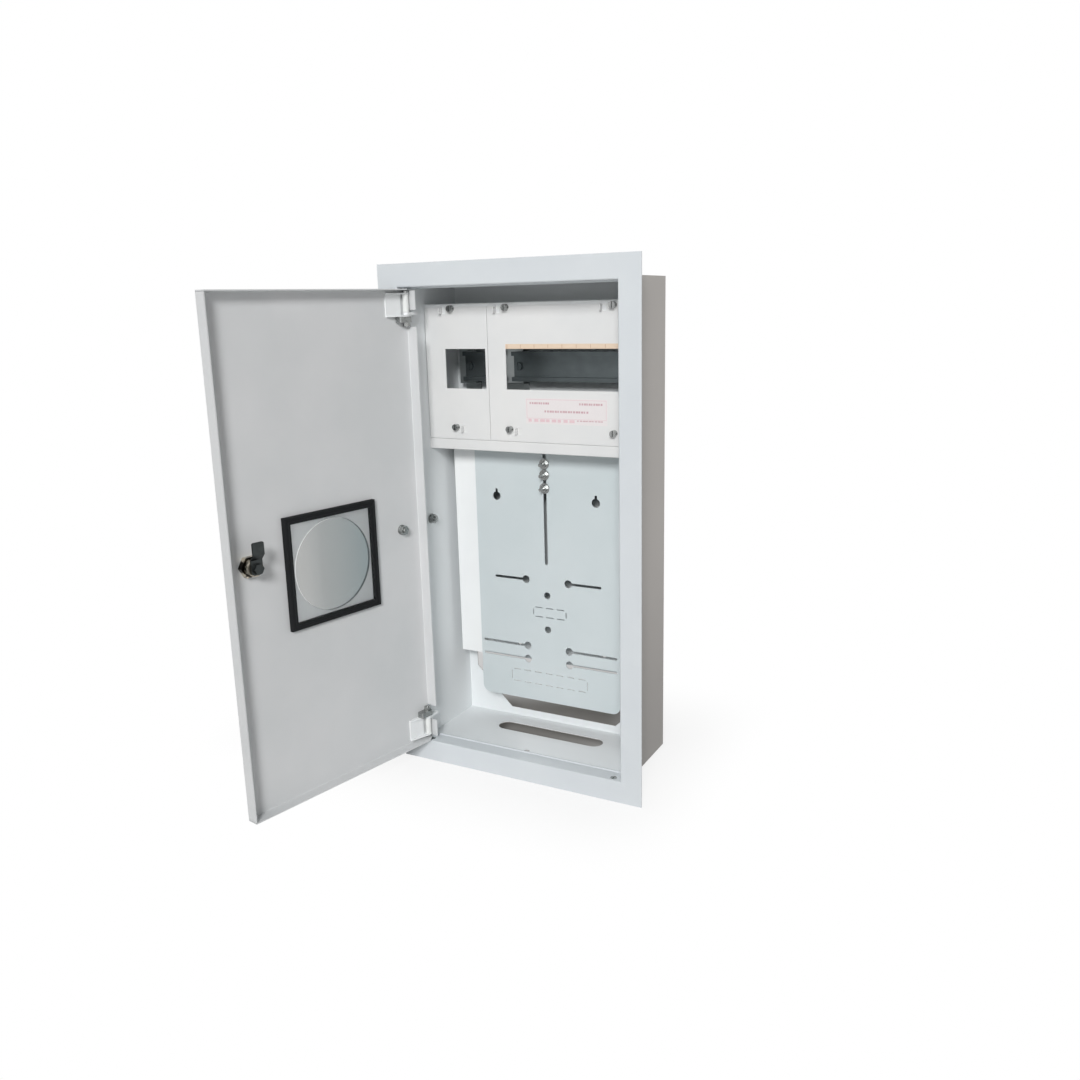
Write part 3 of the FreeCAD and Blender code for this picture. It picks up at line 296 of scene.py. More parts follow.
def recessed_shell_coat(name, colour, shade, outside, outside_shade):
    """White powder inside the shell; on the faces in the wall a thin warm grey primer, partly
    painted shade, darkened towards the foot as painted shade.
    """
    material, tree, place = start_material(name)
    low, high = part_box("body_shell")
    middle = (low + high) / 2
    axes = add_node(tree, "ShaderNodeSeparateXYZ", links={"Vector": add_node(
        tree, "ShaderNodeVectorMath", {"operation": "SUBTRACT"}, {1: middle},
        {0: place}).outputs[0]})
    # A point is on the outside where it lies in the skin of a side, of the top or bottom, or of
    # the back. The front is open, so only the far end counts along Y.
    outer = None
    for axis, reach in zip("XYZ", high - middle):
        span = axes.outputs[axis]
        if axis != "Y":
            span = add_node(tree, "ShaderNodeMath", {"operation": "ABSOLUTE"},
                            links={0: span}).outputs[0]
        past = add_node(tree, "ShaderNodeMath", {"operation": "GREATER_THAN"},
                        {1: reach - SHELL_SKIN_MM * MM}, {0: span}).outputs[0]
        outer = past if outer is None else add_node(
            tree, "ShaderNodeMath", {"operation": "MAXIMUM"}, links={0: outer, 1: past}).outputs[0]
    white, cloud = clouded(tree, place, (colour, shade), SHELL_CLOUD_MM, 3.0)
    # Painted shade darkens the primer towards the shell's foot, so the eye sees its lower sides in
    # shade
    painted_low_shade = add_node(tree, "ShaderNodeMapRange",
                     values={"From Min": LOW_SHADE_START_MM * MM, "From Max": low.z - middle.z},
                     links={"Value": axes.outputs["Z"]})
    uneven = add_node(tree, "ShaderNodeMath", {"operation": "MULTIPLY_ADD", "use_clamp": True},
                      {1: LOW_SHADE_CLOUD}, {0: cloud, 2: painted_low_shade.outputs["Result"]})
    primer = add_node(tree, "ShaderNodeMix", {"data_type": "RGBA"},
                      {6: finish_colour(outside), 7: finish_colour(outside_shade)},
                      {0: uneven.outputs[0]})
    skin = add_node(tree, "ShaderNodeMix", {"data_type": "RGBA"},
                    links={0: outer, 6: white, 7: primer.outputs[2]})
    gloss = add_node(tree, "ShaderNodeMapRange",
                     values={"To Min": SHELL_ROUGHNESS[0], "To Max": SHELL_ROUGHNESS[1]},
                     links={"Value": outer})
    peel, _ = grained(tree, place, PEEL_MM, PEEL_DEPTH_MM, PEEL_STRENGTH)
    finish_material(tree, add_node(
        tree, "ShaderNodeBsdfPrincipled", values={"IOR": COAT_IOR},
        links={"Base Color": skin.outputs[2], "Roughness": gloss.outputs["Result"],
               "Normal": peel}))
    return material


def plated_steel(name, colour, shade, roughness, grain_mm=PLATE_GRAIN_MM, contrast=WHOLE_SPAN):
    """Electroplated steel: bright metal, a little cloudy, with fine handling marks."""
    material, tree, place = start_material(name)
    skin, cloud = clouded(tree, place, (colour, shade), grain_mm * PLATE_CLOUD_GRAINS, 4.0,
                          contrast)
    # The dark clouds are duller too, so the eye sees small glints instead of one mirror
    gloss = add_node(tree, "ShaderNodeMapRange",
                     values={"To Min": roughness - PLATE_GLOSS_SPREAD,
                             "To Max": roughness + PLATE_GLOSS_SPREAD}, links={"Value": cloud})
    marks, _ = grained(tree, place, grain_mm * PLATE_SCRATCH_GRAINS, PLATE_SCRATCH_DEPTH_MM,
                       PLATE_SCRATCH_STRENGTH)
    finish_material(tree, add_node(
        tree, "ShaderNodeBsdfPrincipled", values={"Metallic": 1.0},
        links={"Base Color": skin, "Roughness": gloss.outputs["Result"], "Normal": marks}))
    return material


def nitrile_rubber(name, colour, bloom):
    """Extruded black rubber: dull, with a grey bloom and a fine grain."""
    material, tree, place = start_material(name)
    # The bloom is a thin grey veil, so the eye sees a black that is never quite even
    skin, _ = clouded(tree, place, (colour, bloom), RUBBER_BLOOM_MM, 4.0)
    rough, _ = grained(tree, place, RUBBER_GRAIN_MM, RUBBER_GRAIN_DEPTH_MM, RUBBER_GRAIN_STRENGTH)
    finish_material(tree, add_node(
        tree, "ShaderNodeBsdfPrincipled",
        values={"Roughness": RUBBER_ROUGHNESS, "IOR": RUBBER_IOR,
                "Specular IOR Level": RUBBER_SPECULAR},
        links={"Base Color": skin, "Normal": rough}))
    return material


def acrylic_sheet(name, clear, smoke, smoke_reflected):
    """Cast acrylic sheet, hazed by wiping, with a round smoked film and a painted reflection on its
    outer face.
    """
    material, tree, place = start_material(name)
    low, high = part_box("window_pane")
    middle = (low + high) / 2
    reach = add_node(tree, "ShaderNodeVectorMath", {"operation": "DISTANCE"}, {1: middle},
                     {0: place})
    disc = add_node(tree, "ShaderNodeMapRange",
                    values={"From Min": SMOKE_EDGE_MM[0] * MM, "From Max": SMOKE_EDGE_MM[1] * MM,
                            "To Min": 1.0, "To Max": 0.0}, links={"Value": reach.outputs["Value"]})
    # The film is on the outer face alone: on both faces it would show as two rings
    inward = door_turn().to_3x3() @ Vector((0, 1, 0))
    rise = add_node(tree, "ShaderNodeVectorMath", {"operation": "DOT_PRODUCT"}, {1: inward},
                    {0: add_node(tree, "ShaderNodeVectorMath", {"operation": "SUBTRACT"},
                                 {1: middle}, {0: place}).outputs[0]})
    film_side = add_node(tree, "ShaderNodeMath", {"operation": "LESS_THAN"}, {1: 0.0},
                         {0: rise.outputs["Value"]})
    film = add_node(tree, "ShaderNodeMath", {"operation": "MULTIPLY"},
                    links={0: disc.outputs["Result"], 1: film_side.outputs[0]})
    # A painted reflection runs across the film, so the eye sees a warm grey turn to a cool one away
    # from the lock
    axes = add_node(tree, "ShaderNodeSeparateXYZ", links={"Vector": place})
    depth = add_node(tree, "ShaderNodeMapRange",
                     values={"From Min": low.y + REFLECTION_INSET_MM * MM,
                             "From Max": high.y - REFLECTION_INSET_MM * MM},
                     links={"Value": axes.outputs["Y"]})
    smoked = add_node(tree, "ShaderNodeMix", {"data_type": "RGBA"},
                      {6: finish_colour(smoke), 7: finish_colour(smoke_reflected)},
                      {0: depth.outputs["Result"]})
    tint = add_node(tree, "ShaderNodeMix", {"data_type": "RGBA"}, {6: finish_colour(clear)},
                    {0: film.outputs[0], 7: smoked.outputs[2]})
    wipes = add_node(tree, "ShaderNodeTexNoise",
                     values={"Scale": per_metre(ACRYLIC_WIPE_MM), "Detail": 4.0},
                     links={"Vector": place})
    gloss = add_node(tree, "ShaderNodeMapRange",
                     values={"To Min": ACRYLIC_ROUGHNESS[0], "To Max": ACRYLIC_ROUGHNESS[1]},
                     links={"Value": wipes.outputs["Fac"]})
    finish_material(tree, add_node(
        tree, "ShaderNodeBsdfPrincipled", values={"Transmission Weight": 1.0, "IOR": ACRYLIC_IOR},
        links={"Base Color": tint.outputs[2], "Roughness": gloss.outputs["Result"]}))
    return material


def printed_film(name, colour, fade):
    """Printed polyester film: an even colour, a little uneven where the ink is thin."""
    material, tree, place = start_material(name)
    skin, ink = clouded(tree, place, (colour, fade), FILM_CLOUD_MM, 3.0)
    relief = add_node(tree, "ShaderNodeBump",
                      values={"Strength": FILM_RELIEF_STRENGTH, "Distance": FILM_RELIEF_MM * MM},
                      links={"Height": ink})
    finish_material(tree, add_node(
        tree, "ShaderNodeBsdfPrincipled", values={"Roughness": FILM_ROUGHNESS, "IOR": FILM_IOR},
        links={"Base Color": skin, "Normal": relief.outputs["Normal"]}))
    return material


# For each finish: what makes it, then its colours, roughness and grain. A colour is an sRGB hex
# value, or the name of a colour that the user can pick.
FINISHES = {
    # Baked powder in warmer and cooler tones; the lighter ones set back in the box are painted
    # light
    "white_powder_coat": (powder_coat, "frame_coat", "#D1D6DA", 0.42),
    "door_powder_coat": (powder_coat, "door_coat", "#D0D2D3", 0.45),
    "cover_powder_coat": (powder_coat, "cover_coat", "#DCDDDD", 0.42),
    "inner_powder_coat": (powder_coat, "fitting_coat", "#EDEFF0", 0.45),
    "cool_white_powder_coat": (powder_coat, "plate_coat", "#C8D1D3", 0.42),
    # Bright white inside; where the wall hides the box a warm grey primer with painted shade,
    # darker at its foot
    "shell_powder_coat": (recessed_shell_coat, "shell_coat", "#E2E6E8",
                          "shell_primer", "#A9A6A3"),
    # Zinc on screws and nuts: bright grey with dull patches
    "zinc_plate": (plated_steel, "#B9BAB8", "#7C8081", 0.26),
    # Zinc on larger sheet: pale grey and nearly even
    "bracket_zinc": (plated_steel, "#C4C8C8", "#A6ABAB", 0.35, 6),
    # Passivated zinc on the rails: a dull blue grey, made dark as painted shade behind the covers
    "passivated_rail_zinc": (plated_steel, "#6E7577", "#5C6365", 0.45, 6),
    # Black passivated zinc: nearly black, with a soft sheen
    "black_passivated_zinc": (plated_steel, "#4A4E4E", "#383B3B", 0.42),
    # Nickel: warm and shiny; on the lock's nut and thread, blotched near black as painted
    # reflections
    "nickel_plate": (plated_steel, "#C2BAAC", "#8B8478", 0.2, 4, (0.3, 0.7)),
    "worn_nickel_plate": (plated_steel, "#D9D0BF", "#2B2721", 0.16, 2.4, (0.42, 0.56)),
    "black_rubber": (nitrile_rubber, "rubber", "#141618"),
    # The film's cool grey at the hinge side is a painted reflection
    "smoked_acrylic": (acrylic_sheet, "#F8FAFA", "window_smoke", "#4A5658"),
    # Moulded nylon: a milky white, duller than the powder and with closer clouds
    "white_nylon": (powder_coat, "#E6E8E6", "#DEE0DE", 0.5, 12),
    # Film and inks: pale and flat, with a faint sheen
    "label_film": (printed_film, "#E8E3E3", "#E4DEDE"),
    "peach_film": (printed_film, "circuit_strip", "#E1CBB4"),
    "brown_ink": (printed_film, "#C09F86", "#C9AB94"),
    "red_ink": (printed_film, "notice_ink", "#CFAEB4"),
    "pale_red_ink": (printed_film, "#DDBEC4", "#E3CACE"),
}

# The finish of each CAD node
NODE_FINISHES = {
    "white_powder_coat": ("front_frame", "lock_catch"),
    "door_powder_coat": ("door_panel",),
    "shell_powder_coat": ("body_shell",),
    "inner_powder_coat": ("cover_support", "plate_channel_left", "plate_channel_right",
                          "hinge_plate_top", "hinge_plate_bottom", "door_hinge_bracket_top",
                          "door_hinge_bracket_bottom"),
    "cover_powder_coat": ("breaker_cover", "module_cover", "cross_rail"),
    "cool_white_powder_coat": ("meter_plate",),
    "zinc_plate": ("frame_screws", "frame_nuts", "hinge_strap_top", "hinge_strap_bottom",
                   "breaker_cover_screws", "module_cover_screws", "plate_screws",
                   "plate_nuts", "meter_washers", "meter_nuts", "body_earth_hardware",
                   "door_earth_hardware", "hinge_pin_top", "hinge_pin_bottom", "hinge_nut_top",
                   "hinge_nut_bottom", "meter_screws", "body_earth_stud", "door_earth_stud"),
    "bracket_zinc": ("rail_bracket_left", "rail_bracket_middle", "rail_bracket_right"),
    "passivated_rail_zinc": ("short_rail", "long_rail", "rail_screws"),
    "black_passivated_zinc": ("lock_cam", "cam_bolt"),
    "nickel_plate": ("lock_housing", "lock_plug"),
    "worn_nickel_plate": ("lock_nut",),
    "smoked_acrylic": ("window_pane",),
    "black_rubber": ("window_gasket",),
    "white_nylon": ("hinge_bush_top", "hinge_bush_bottom"),
    "label_film": ("notice",),
    "peach_film": ("circuit_strip",),
}


def find_finish(name):
    """A finish by name, made the first time that it is asked for."""
    if name in bpy.data.materials:
        return bpy.data.materials[name]
    make, *settings = FINISHES[name]
    return make(name, *settings)


def door_turn():
    """The matrix that swings a piece drawn on the closed door to the open position."""
    pin = Matrix.Translation(HINGE["pos_m"])
    swing = Matrix.Rotation(-math.radians(HINGE["range_deg"][1]), 4, "Z")
    return pin @ swing @ pin.inverted()


def closed_box(node):
    """The lowest and highest corners of a door node, as it lies when the door is shut."""
    back = door_turn().inverted()
    points = [back @ vertex.co for vertex in NODES[node].data.vertices]
    low = Vector([min(point[axis] for point in points) for axis in range(3)])
    high = Vector([max(point[axis] for point in points) for axis in range(3)])
    return low, high


def add_block(builder, low, high):
    """Add one closed box between two corners to a bmesh."""
    size = Vector(high) - Vector(low)
    place = Matrix.Translation((Vector(low) + Vector(high)) / 2) @ Matrix.Diagonal((*size, 1))
    bmesh.ops.create_cube(builder, size=1, matrix=place)


def add_mitred_frame(builder, low, high, section):
    """Add a closed frame round an upright rectangle, mitred at its corners, to a bmesh.

    Each point of its section says how far in from the rectangle's edge it is, and its place on Y.
    """
    rings = []
    for side_x, side_z in ((-1, -1), (1, -1), (1, 1), (-1, 1)):
        verts = bmesh.ops.create_circle(builder, segments=len(section), radius=1)["verts"]
        corner = Vector((high.x if side_x > 0 else low.x, 0, high.z if side_z > 0 else low.z))
        for vert, (inset, depth) in zip(verts, section):
            vert.co = corner + Vector((-side_x * inset, depth, -side_z * inset))
        rings.append(list(dict.fromkeys(edge for vert in verts for edge in vert.link_edges)))
    for ring, following in zip(rings, rings[1:] + rings[:1]):
        bmesh.ops.bridge_loops(builder, edges=ring + following)
    bmesh.ops.recalc_face_normals(builder, faces=builder.faces)


def link_object(name, builder, finish):
    """Turn a finished bmesh into an object with one material."""
    mesh = bpy.data.meshes.new(name)
    builder.to_mesh(mesh)
    builder.free()
    item = bpy.data.objects.new(name, mesh)
    bpy.context.scene.collection.objects.link(item)
    mesh.materials.append(finish)
    return item


def finish_piece(name, builder, finish, body, slot, stands_for=(), turn=None):
    """Turn a finished bmesh into a piece that rides on a body."""
    if turn is not None:
        bmesh.ops.transform(builder, matrix=turn, verts=builder.verts)
    piece = link_object(name, builder, find_finish(finish))
    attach(piece, body)
    if stands_for:
        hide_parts(*stands_for)
    return piece


def smooth(piece):
    """Shade a piece smooth, but keep its sharp edges."""
    for face in piece.data.polygons:
        face.use_smooth = True
    piece.data.set_sharp_from_angle(angle=SHARP_ANGLE)


class MeterBoxSizes(PropertyGroup):
    gasket_width: FloatProperty(
        name="Gasket width", description="Width of the rubber frame's sides",
        default=8 * MM, unit="LENGTH")
    gasket_edge: FloatProperty(
        name="Gasket edge", description="Radius of the rubber's long edges",
        default=0.9 * MM, unit="LENGTH")
    gasket_lip: FloatProperty(
        name="Gasket lip", description="Width of the lip on each side of the groove",
        default=2.4 * MM, unit="LENGTH")
    gasket_groove: FloatProperty(
        name="Gasket groove", description="Depth of the groove in the rubber",
        default=0.7 * MM, unit="LENGTH")
    lock_barrel_radius: FloatProperty(
        name="Lock barrel", description="Radius of the lock's threaded barrel",
        default=8.6 * MM, unit="LENGTH")
    lock_pitch: FloatProperty(
        name="Lock thread", description="Pitch of the lock barrel's thread",
        default=1.25 * MM, unit="LENGTH")
    stud_pitch: FloatProperty(
        name="Stud thread", description="Pitch of the earth studs' thread",
        default=0.8 * MM, unit="LENGTH")
    frame_line: FloatProperty(
        name="Frame line", description="Width of the line round the notice",
        default=0.4243 * MM, unit="LENGTH")
    ink_line: FloatProperty(
        name="Ink line", description="Width of a mark on the circuit strip",
        default=0.6 * MM, unit="LENGTH")
    ink_height: FloatProperty(
        name="Ink height", description="Thickness of the printed ink",
        default=0.05 * MM, unit="LENGTH")
    module_width: FloatProperty(
        name="Module width", description="Width of one modular device",
        default=17.5 * MM, unit="LENGTH")


class MeterBoxColours(PropertyGroup):
    # The lighter white coats of the parts set back in the box are painted light
    frame_coat: picked_colour("Frame", "Powder coat on the frame round the door", "#D5DADD")
    door_coat: picked_colour("Door", "Powder coat on the door", "#D6D7D8")
    cover_coat: picked_colour("Covers", "Powder coat on the covers over the modules", "#E2E2E1")
    fitting_coat: picked_colour("Fittings", "Powder coat on hinges and inner supports", "#F1F3F3")
    shell_coat: picked_colour("Inside", "Powder coat inside the box", "#E7EAEB")
    # The outside primer's grey is partly painted shade
    shell_primer: picked_colour("Outside", "Primer on the faces that the wall hides", "#C8C4C0")
    plate_coat: picked_colour("Meter plate", "Powder coat on the meter's plate", "#CDD5D7")
    rubber: picked_colour("Gasket", "Rubber of the window's frame", "#0B0D0F")
    window_smoke: picked_colour("Window", "Smoked film on the window pane", "#717270")
    circuit_strip: picked_colour("Strip", "Film above the long window", "#E5D0BA")
    notice_ink: picked_colour("Notice", "Ink of the notice's marks", "#C29AA2")


class MeterBoxLight(PropertyGroup):
    key_place: FloatVectorProperty(
        name="Key lamp place", description="Where the main lamp hangs",
        default=(2.3, -5.85, 3.0), subtype="TRANSLATION", unit="LENGTH")
    key_power: FloatProperty(
        name="Key lamp", description="Power of the main lamp", default=345.0, unit="POWER")
    key_size: FloatProperty(
        name="Key lamp size", description="Width of the main lamp's round face",
        default=1.8, unit="LENGTH")
    back_place: FloatVectorProperty(
        name="Back lamp place", description="Where the lamp behind the box hangs",
        default=(-2.6, 3.0, 0.25), subtype="TRANSLATION", unit="LENGTH")
    back_power: FloatProperty(
        name="Back lamp", description="Power of the lamp behind the box",
        default=45.0, unit="POWER")
    back_size: FloatProperty(
        name="Back lamp size", description="Width of the back lamp's round face",
        default=0.8, unit="LENGTH")
    room_colour: picked_colour("Room", "Light that the pale room gives back", "#FBFAF8")
    room_strength: FloatProperty(
        name="Room strength", description="Strength of the room's light", default=0.21)
    floor_height: FloatProperty(
        name="Floor", description="Height of the floor, from the box's origin",
        default=CAD_BOX[0][2] - FLOOR_GAP, unit="LENGTH")


class METERBOX_OT_paint(Operator):
    """Give every CAD node the finish of the real piece"""
    bl_idname = "meter_box.paint"
    bl_label = "Finish the Metalwork"

    def execute(self, context):
        painted = set()
        for finish, names in NODE_FINISHES.items():
            for name in names:
                NODES[name].data.materials.clear()
                NODES[name].data.materials.append(find_finish(finish))
                painted.add(name)
        missing = sorted(set(NODES) - painted)
        if missing:
            raise RuntimeError(f"No finish is given for {missing}")
        return {"FINISHED"}


class METERBOX_OT_notice_print(Operator):
    """Print a plain pale red frame with rows of blank marks on the notice"""
    bl_idname = "meter_box.notice_print"
    bl_label = "Print the Notice"

    def execute(self, context):
        sizes = context.scene.meter_box_sizes
        low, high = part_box("notice")
        left, right = low.x + NOTICE_MARGIN, high.x - NOTICE_MARGIN
        bottom, top = low.z + NOTICE_FOOT, high.z - NOTICE_MARGIN
        front = low.y - sizes.ink_height
        width = right - left
        for ink, rows in NOTICE_ROWS.items():
            builder = bmesh.new()
            for start, end, drop, tall, marks in rows:
                step = (end - start) * width / marks
                row_top = top - drop * MM
                for place in range(marks):
                    x = left + width * start + step * place
                    length = (place * MARK_STRIDE) % MARK_LENGTHS
                    share = MARK_SHORTEST + MARK_SPREAD * length / (MARK_LENGTHS - 1)
                    add_block(builder, (x, front, row_top - tall * MM),
                              (x + step * share, low.y, row_top))
            if ink == FRAME_INK:
                line = sizes.frame_line
                add_mitred_frame(builder, Vector((left, front, bottom)),
                                 Vector((right, low.y, top)),
                                 ((0, low.y), (0, front), (line, front), (line, low.y)))
            finish_piece(f"notice_{ink}", builder, ink, "box", "paper_label")
        return {"FINISHED"}


class METERBOX_OT_strip_marks(Operator):
    """Print a blank mark for each module on the strip above the long rail's window"""
    bl_idname = "meter_box.strip_marks"
    bl_label = "Print the Strip's Marks"

    def execute(self, context):
        sizes = context.scene.meter_box_sizes
        low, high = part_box("circuit_strip")
        modules = int((high.x - low.x) / sizes.module_width)
        start = (low.x + high.x - modules * sizes.module_width) / 2
        builder = bmesh.new()
        for place in range(modules + 1):
            x = start + place * sizes.module_width
            x = min(max(x, low.x + sizes.ink_line), high.x - sizes.ink_line)
            add_block(builder,
                      (x - sizes.ink_line / 2, low.y - sizes.ink_height, low.z + STRIP_MARGIN),
                      (x + sizes.ink_line / 2, low.y, high.z - STRIP_MARGIN))
        finish_piece("circuit_strip_marks", builder, "brown_ink", "box", "peach_label")
        return {"FINISHED"}


class METERBOX_OT_window_gasket(Operator):
    """Mould the square rubber gasket, mitred at the corners, with a groove along its face"""
    bl_idname = "meter_box.window_gasket"
    bl_label = "Mould the Window Gasket"

    def execute(self, context):
        low, high = closed_box("window_gasket")
        section = self.section(low.y, high.y, context.scene.meter_box_sizes)
        builder = bmesh.new()
        add_mitred_frame(builder, low, high, section)
        piece = finish_piece("window_gasket_moulding", builder, "black_rubber", "door",
                             "gasket_rubber", ("window_gasket",), door_turn())
        smooth(piece)
        return {"FINISHED"}

    def section(self, bottom, top, sizes):
        """The rubber's outline across one side: how far in from the outer edge, and how high."""
        lip, groove, edge = sizes.gasket_lip, sizes.gasket_groove, sizes.gasket_edge
        half = [(0, bottom), (0, top - edge), (edge * ROUND_MIDDLE, top - edge * ROUND_MIDDLE),
                (edge, top), (lip, top), (lip + groove, top - groove)]
        return half + [(sizes.gasket_width - inset, depth) for inset, depth in reversed(half)]


class METERBOX_OT_threads(Operator):
    """Cut the threads that show on the lock's barrel and on the earth studs"""
    bl_idname = "meter_box.threads"
    bl_label = "Cut the Threads"

    def execute(self, context):
        sizes = context.scene.meter_box_sizes
        low, high = closed_box("lock_housing")
        nut_end = closed_box("lock_nut")[1].y
        self.thread("lock_barrel_thread", (low + high) / 2, Vector((0, 1, 0)), (nut_end, high.y),
                    sizes.lock_barrel_radius, sizes.lock_pitch,
                    ("worn_nickel_plate", "door", "chrome"), door_turn())
        low, high = closed_box("door_earth_stud")
        nut_end = closed_box("door_earth_hardware")[1].y
        self.thread("door_earth_thread", (low + high) / 2, Vector((0, 1, 0)), (nut_end, high.y),
                    (high.z - low.z) / 2, sizes.stud_pitch,
                    ("zinc_plate", "door", "zinc"), door_turn())
        low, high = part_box("body_earth_stud")
        nut_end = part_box("body_earth_hardware")[1].x
        self.thread("body_earth_thread", (low + high) / 2, Vector((1, 0, 0)), (nut_end, high.x),
                    (high.z - low.z) / 2, sizes.stud_pitch,
                    ("zinc_plate", "box", "zinc"), None)
        return {"FINISHED"}

    def thread(self, name, middle, along, ends, radius, pitch, place, turn):
        """Wind one sharp ridge about an axis, from the nut's face nearly to the end of the rod."""
        start, end = ends
        turns = (end - start - THREAD_ENDS * pitch) / pitch
        if turns < 1:
            raise RuntimeError(f"There is no room for {name}")
        steps = int(turns * THREAD_STEPS)
        centre = middle - along * middle.dot(along) + along * (start + THREAD_START * pitch)
        builder = bmesh.new()
        ring = bmesh.ops.create_circle(builder, segments=3, radius=pitch * THREAD_RIDGE,
                                       cap_ends=True)
        section = Matrix.Translation(centre + Vector((0, 0, radius - pitch * THREAD_SINK)))
        face_turn = Matrix.Rotation(math.radians(90), 4, "X" if along.x else "Y")
        bmesh.ops.transform(builder, matrix=section @ face_turn, verts=ring["verts"])
        bmesh.ops.spin(builder, geom=builder.faces[:] + builder.edges[:] + builder.verts[:],
                       cent=centre, axis=along, dvec=along * pitch / THREAD_STEPS, steps=steps,
                       angle=math.tau * steps / THREAD_STEPS)
        bmesh.ops.recalc_face_normals(builder, faces=builder.faces)
        finish_piece(name, builder, *place, turn=turn)


class METERBOX_OT_stage(Operator):
    """Set the floor, the lamps, the room and the camera"""
    bl_idname = "meter_box.stage"
    bl_label = "Set the Stage"

    def execute(self, context):
        light = context.scene.meter_box_light
        self.add_floor(light)
        self.add_lamp("key_lamp", light.key_place, light.key_power, light.key_size)
        self.add_lamp("back_lamp", light.back_place, light.back_power, light.back_size)
        self.set_world(context.scene, light)
        self.add_camera(context.scene)
        context.scene.view_settings.view_transform = "Standard"
        return {"FINISHED"}

    def add_floor(self, light):
        """A wide flat floor under the box."""
        builder = bmesh.new()
        bmesh.ops.create_grid(builder, x_segments=1, y_segments=1, size=FLOOR_REACH,
                              matrix=Matrix.Translation((0, 0, light.floor_height)))
        floor = link_object("floor", builder, self.pale_floor())

    def pale_floor(self):
        """A pale matt floor that glows white, but for the ground that the box shades, which is
        painted darker behind the box as a painted shadow.
        """
        paint, tree, place = start_material("pale_floor")
        turned = add_node(tree, "ShaderNodeMapping", values={"Rotation": (0, 0, SIGHT_TURN)},
                          links={"Vector": place}).outputs["Vector"]
        around = self.patch(tree, place, AROUND_EDGES)
        behind = self.patch(tree, turned, BEHIND_EDGES)
        beneath = self.patch(tree, turned, BENEATH_EDGES)
        pale, _ = clouded(tree, place, ("#EEEEEE", "#E8E8E8"), FLOOR_MOTTLE_MM, 2.0)
        # Painted shadow: the floor's colour darkens in the patch behind the box
        skin = add_node(tree, "ShaderNodeMix", {"data_type": "RGBA"}, {7: linear("#A09E9B")},
                        {0: behind, 6: pale})
        matt = add_node(tree, "ShaderNodeBsdfDiffuse", links={"Color": skin.outputs[2]})
        glow = add_node(tree, "ShaderNodeEmission")
        dark = beneath
        for zone, share in ((around, SHADOW_SHARE), (behind, DEEP_SHADOW_SHARE)):
            faint = add_node(tree, "ShaderNodeMath", {"operation": "MULTIPLY"}, {1: share},
                             {0: zone})
            dark = add_node(tree, "ShaderNodeMath", {"operation": "MAXIMUM"},
                            links={0: faint.outputs[0], 1: dark}).outputs[0]
        clear = add_node(tree, "ShaderNodeMath", {"operation": "SUBTRACT"}, {0: 1.0}, {1: dark})
        white = add_node(tree, "ShaderNodeMath", {"operation": "MULTIPLY"},
                         links={0: self.seen_rays(tree), 1: clear.outputs[0]})
        finish_material(tree, add_node(
            tree, "ShaderNodeMixShader",
            links={0: white.outputs[0], 1: matt.outputs[0], 2: glow.outputs[0]}))
        return paint

    def patch(self, tree, place, edges):
        """One inside soft straight edges, from each outer line to its inner one; zero outside."""
        axes = add_node(tree, "ShaderNodeSeparateXYZ", links={"Vector": place})
        inside = None
        for axis, outer, inner in edges:
            edge = add_node(tree, "ShaderNodeMapRange", {"interpolation_type": "SMOOTHSTEP"},
                            {"From Min": outer, "From Max": inner},
                            {"Value": axes.outputs[axis]}).outputs[0]
            inside = edge if inside is None else add_node(
                tree, "ShaderNodeMath", {"operation": "MULTIPLY"},
                links={0: inside, 1: edge}).outputs[0]
        return inside

    def seen_rays(self, tree):
        """One for rays from the camera, a mirror or clear sheet, and zero for the rest."""
        path = add_node(tree, "ShaderNodeLightPath")
        first = add_node(tree, "ShaderNodeMath", {"operation": "MAXIMUM"},
                         links={0: path.outputs["Is Camera Ray"], 1: path.outputs["Is Glossy Ray"]})
        return add_node(tree, "ShaderNodeMath", {"operation": "MAXIMUM"},
                        links={0: first.outputs[0],
                               1: path.outputs["Is Transmission Ray"]}).outputs[0]

    def add_lamp(self, name, place, power, size):
        """A round soft lamp that points at the middle of the box."""
        data = bpy.data.lights.new(name, "AREA")
        data.shape = "DISK"
        data.size = size
        data.energy = power
        lamp = bpy.data.objects.new(name, data)
        lamp.location = place
        lamp.rotation_euler = Vector(place).to_track_quat("Z", "Y").to_euler()
        bpy.context.scene.collection.objects.link(lamp)

    def set_world(self, scene, light):
        """A dim pale room that lights the box, and plain white where the camera looks past it."""
        world = bpy.data.worlds.new("white_room")
        world.use_nodes = True
        tree = world.node_tree
        tree.nodes.clear()
        room = add_node(tree, "ShaderNodeBackground",
                        values={"Color": (*light.room_colour, 1.0),
                                "Strength": light.room_strength})
        white = add_node(tree, "ShaderNodeBackground",
                         values={"Color": linear("#FFFFFF"), "Strength": 1.0})
        shown = add_node(tree, "ShaderNodeMixShader",
                         links={0: self.seen_rays(tree), 1: room.outputs[0], 2: white.outputs[0]})
        add_node(tree, "ShaderNodeOutputWorld", links={"Surface": shown.outputs[0]})
        scene.world = world

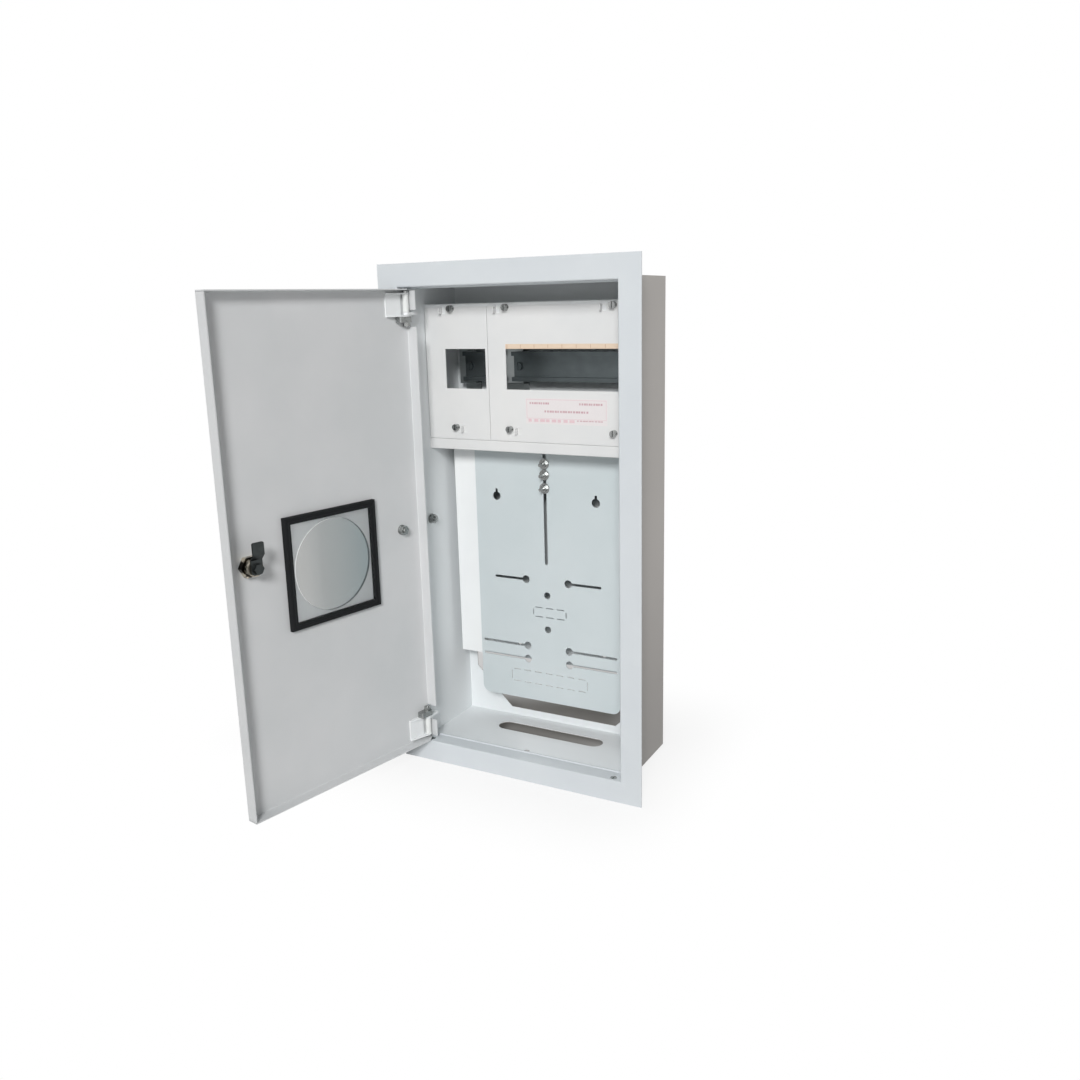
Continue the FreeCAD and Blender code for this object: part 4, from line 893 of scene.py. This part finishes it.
    def add_camera(self, scene):
        """The camera at the photograph's place, turned as the photograph's was."""
        yaw, pitch = math.radians(CAMERA_YAW), math.radians(CAMERA_PITCH)
        back = Vector((math.sin(yaw) * math.cos(pitch), -math.cos(yaw) * math.cos(pitch),
                       math.sin(pitch)))
        data = bpy.data.cameras.new("camera")
        data.sensor_width = SENSOR_WIDTH
        data.lens = CAMERA_LENS
        data.clip_start = CAMERA_NEAR
        data.clip_end = CAMERA_FAR
        camera = bpy.data.objects.new("camera", data)
        camera.rotation_mode = "QUATERNION"
        roll = Matrix.Rotation(math.radians(CAMERA_ROLL), 3, "Z")
        aim = (-back).to_track_quat("-Z", "Y").to_matrix() @ roll
        camera.location = CAMERA_PLACE
        camera.rotation_quaternion = aim.to_quaternion()
        scene.collection.objects.link(camera)
        scene.camera = camera


class METERBOX_PT_panel(Panel):
    """The meter box's operators, in the order in which they run"""
    bl_label = "Meter Box"
    bl_idname = "METERBOX_PT_panel"
    bl_space_type = "VIEW_3D"
    bl_region_type = "UI"
    bl_category = "Meter Box"

    def draw(self, context):
        for operator in OPERATORS:
            self.layout.operator(operator.bl_idname)


OPERATORS = (METERBOX_OT_paint, METERBOX_OT_notice_print, METERBOX_OT_strip_marks,
             METERBOX_OT_window_gasket, METERBOX_OT_threads, METERBOX_OT_stage)
CLASSES = (MeterBoxSizes, MeterBoxColours, MeterBoxLight, *OPERATORS, METERBOX_PT_panel)


def register():
    for item in CLASSES:
        bpy.utils.register_class(item)
    bpy.types.Scene.meter_box_sizes = PointerProperty(type=MeterBoxSizes)
    bpy.types.Scene.meter_box_colours = PointerProperty(type=MeterBoxColours)
    bpy.types.Scene.meter_box_light = PointerProperty(type=MeterBoxLight)


def unregister():
    del bpy.types.Scene.meter_box_light
    del bpy.types.Scene.meter_box_colours
    del bpy.types.Scene.meter_box_sizes
    for item in reversed(CLASSES):
        bpy.utils.unregister_class(item)


def main():
    register()
    bpy.ops.meter_box.paint()
    bpy.ops.meter_box.notice_print()
    bpy.ops.meter_box.strip_marks()
    bpy.ops.meter_box.window_gasket()
    bpy.ops.meter_box.threads()
    bpy.ops.meter_box.stage()


if __name__ == "__main__":
    main()
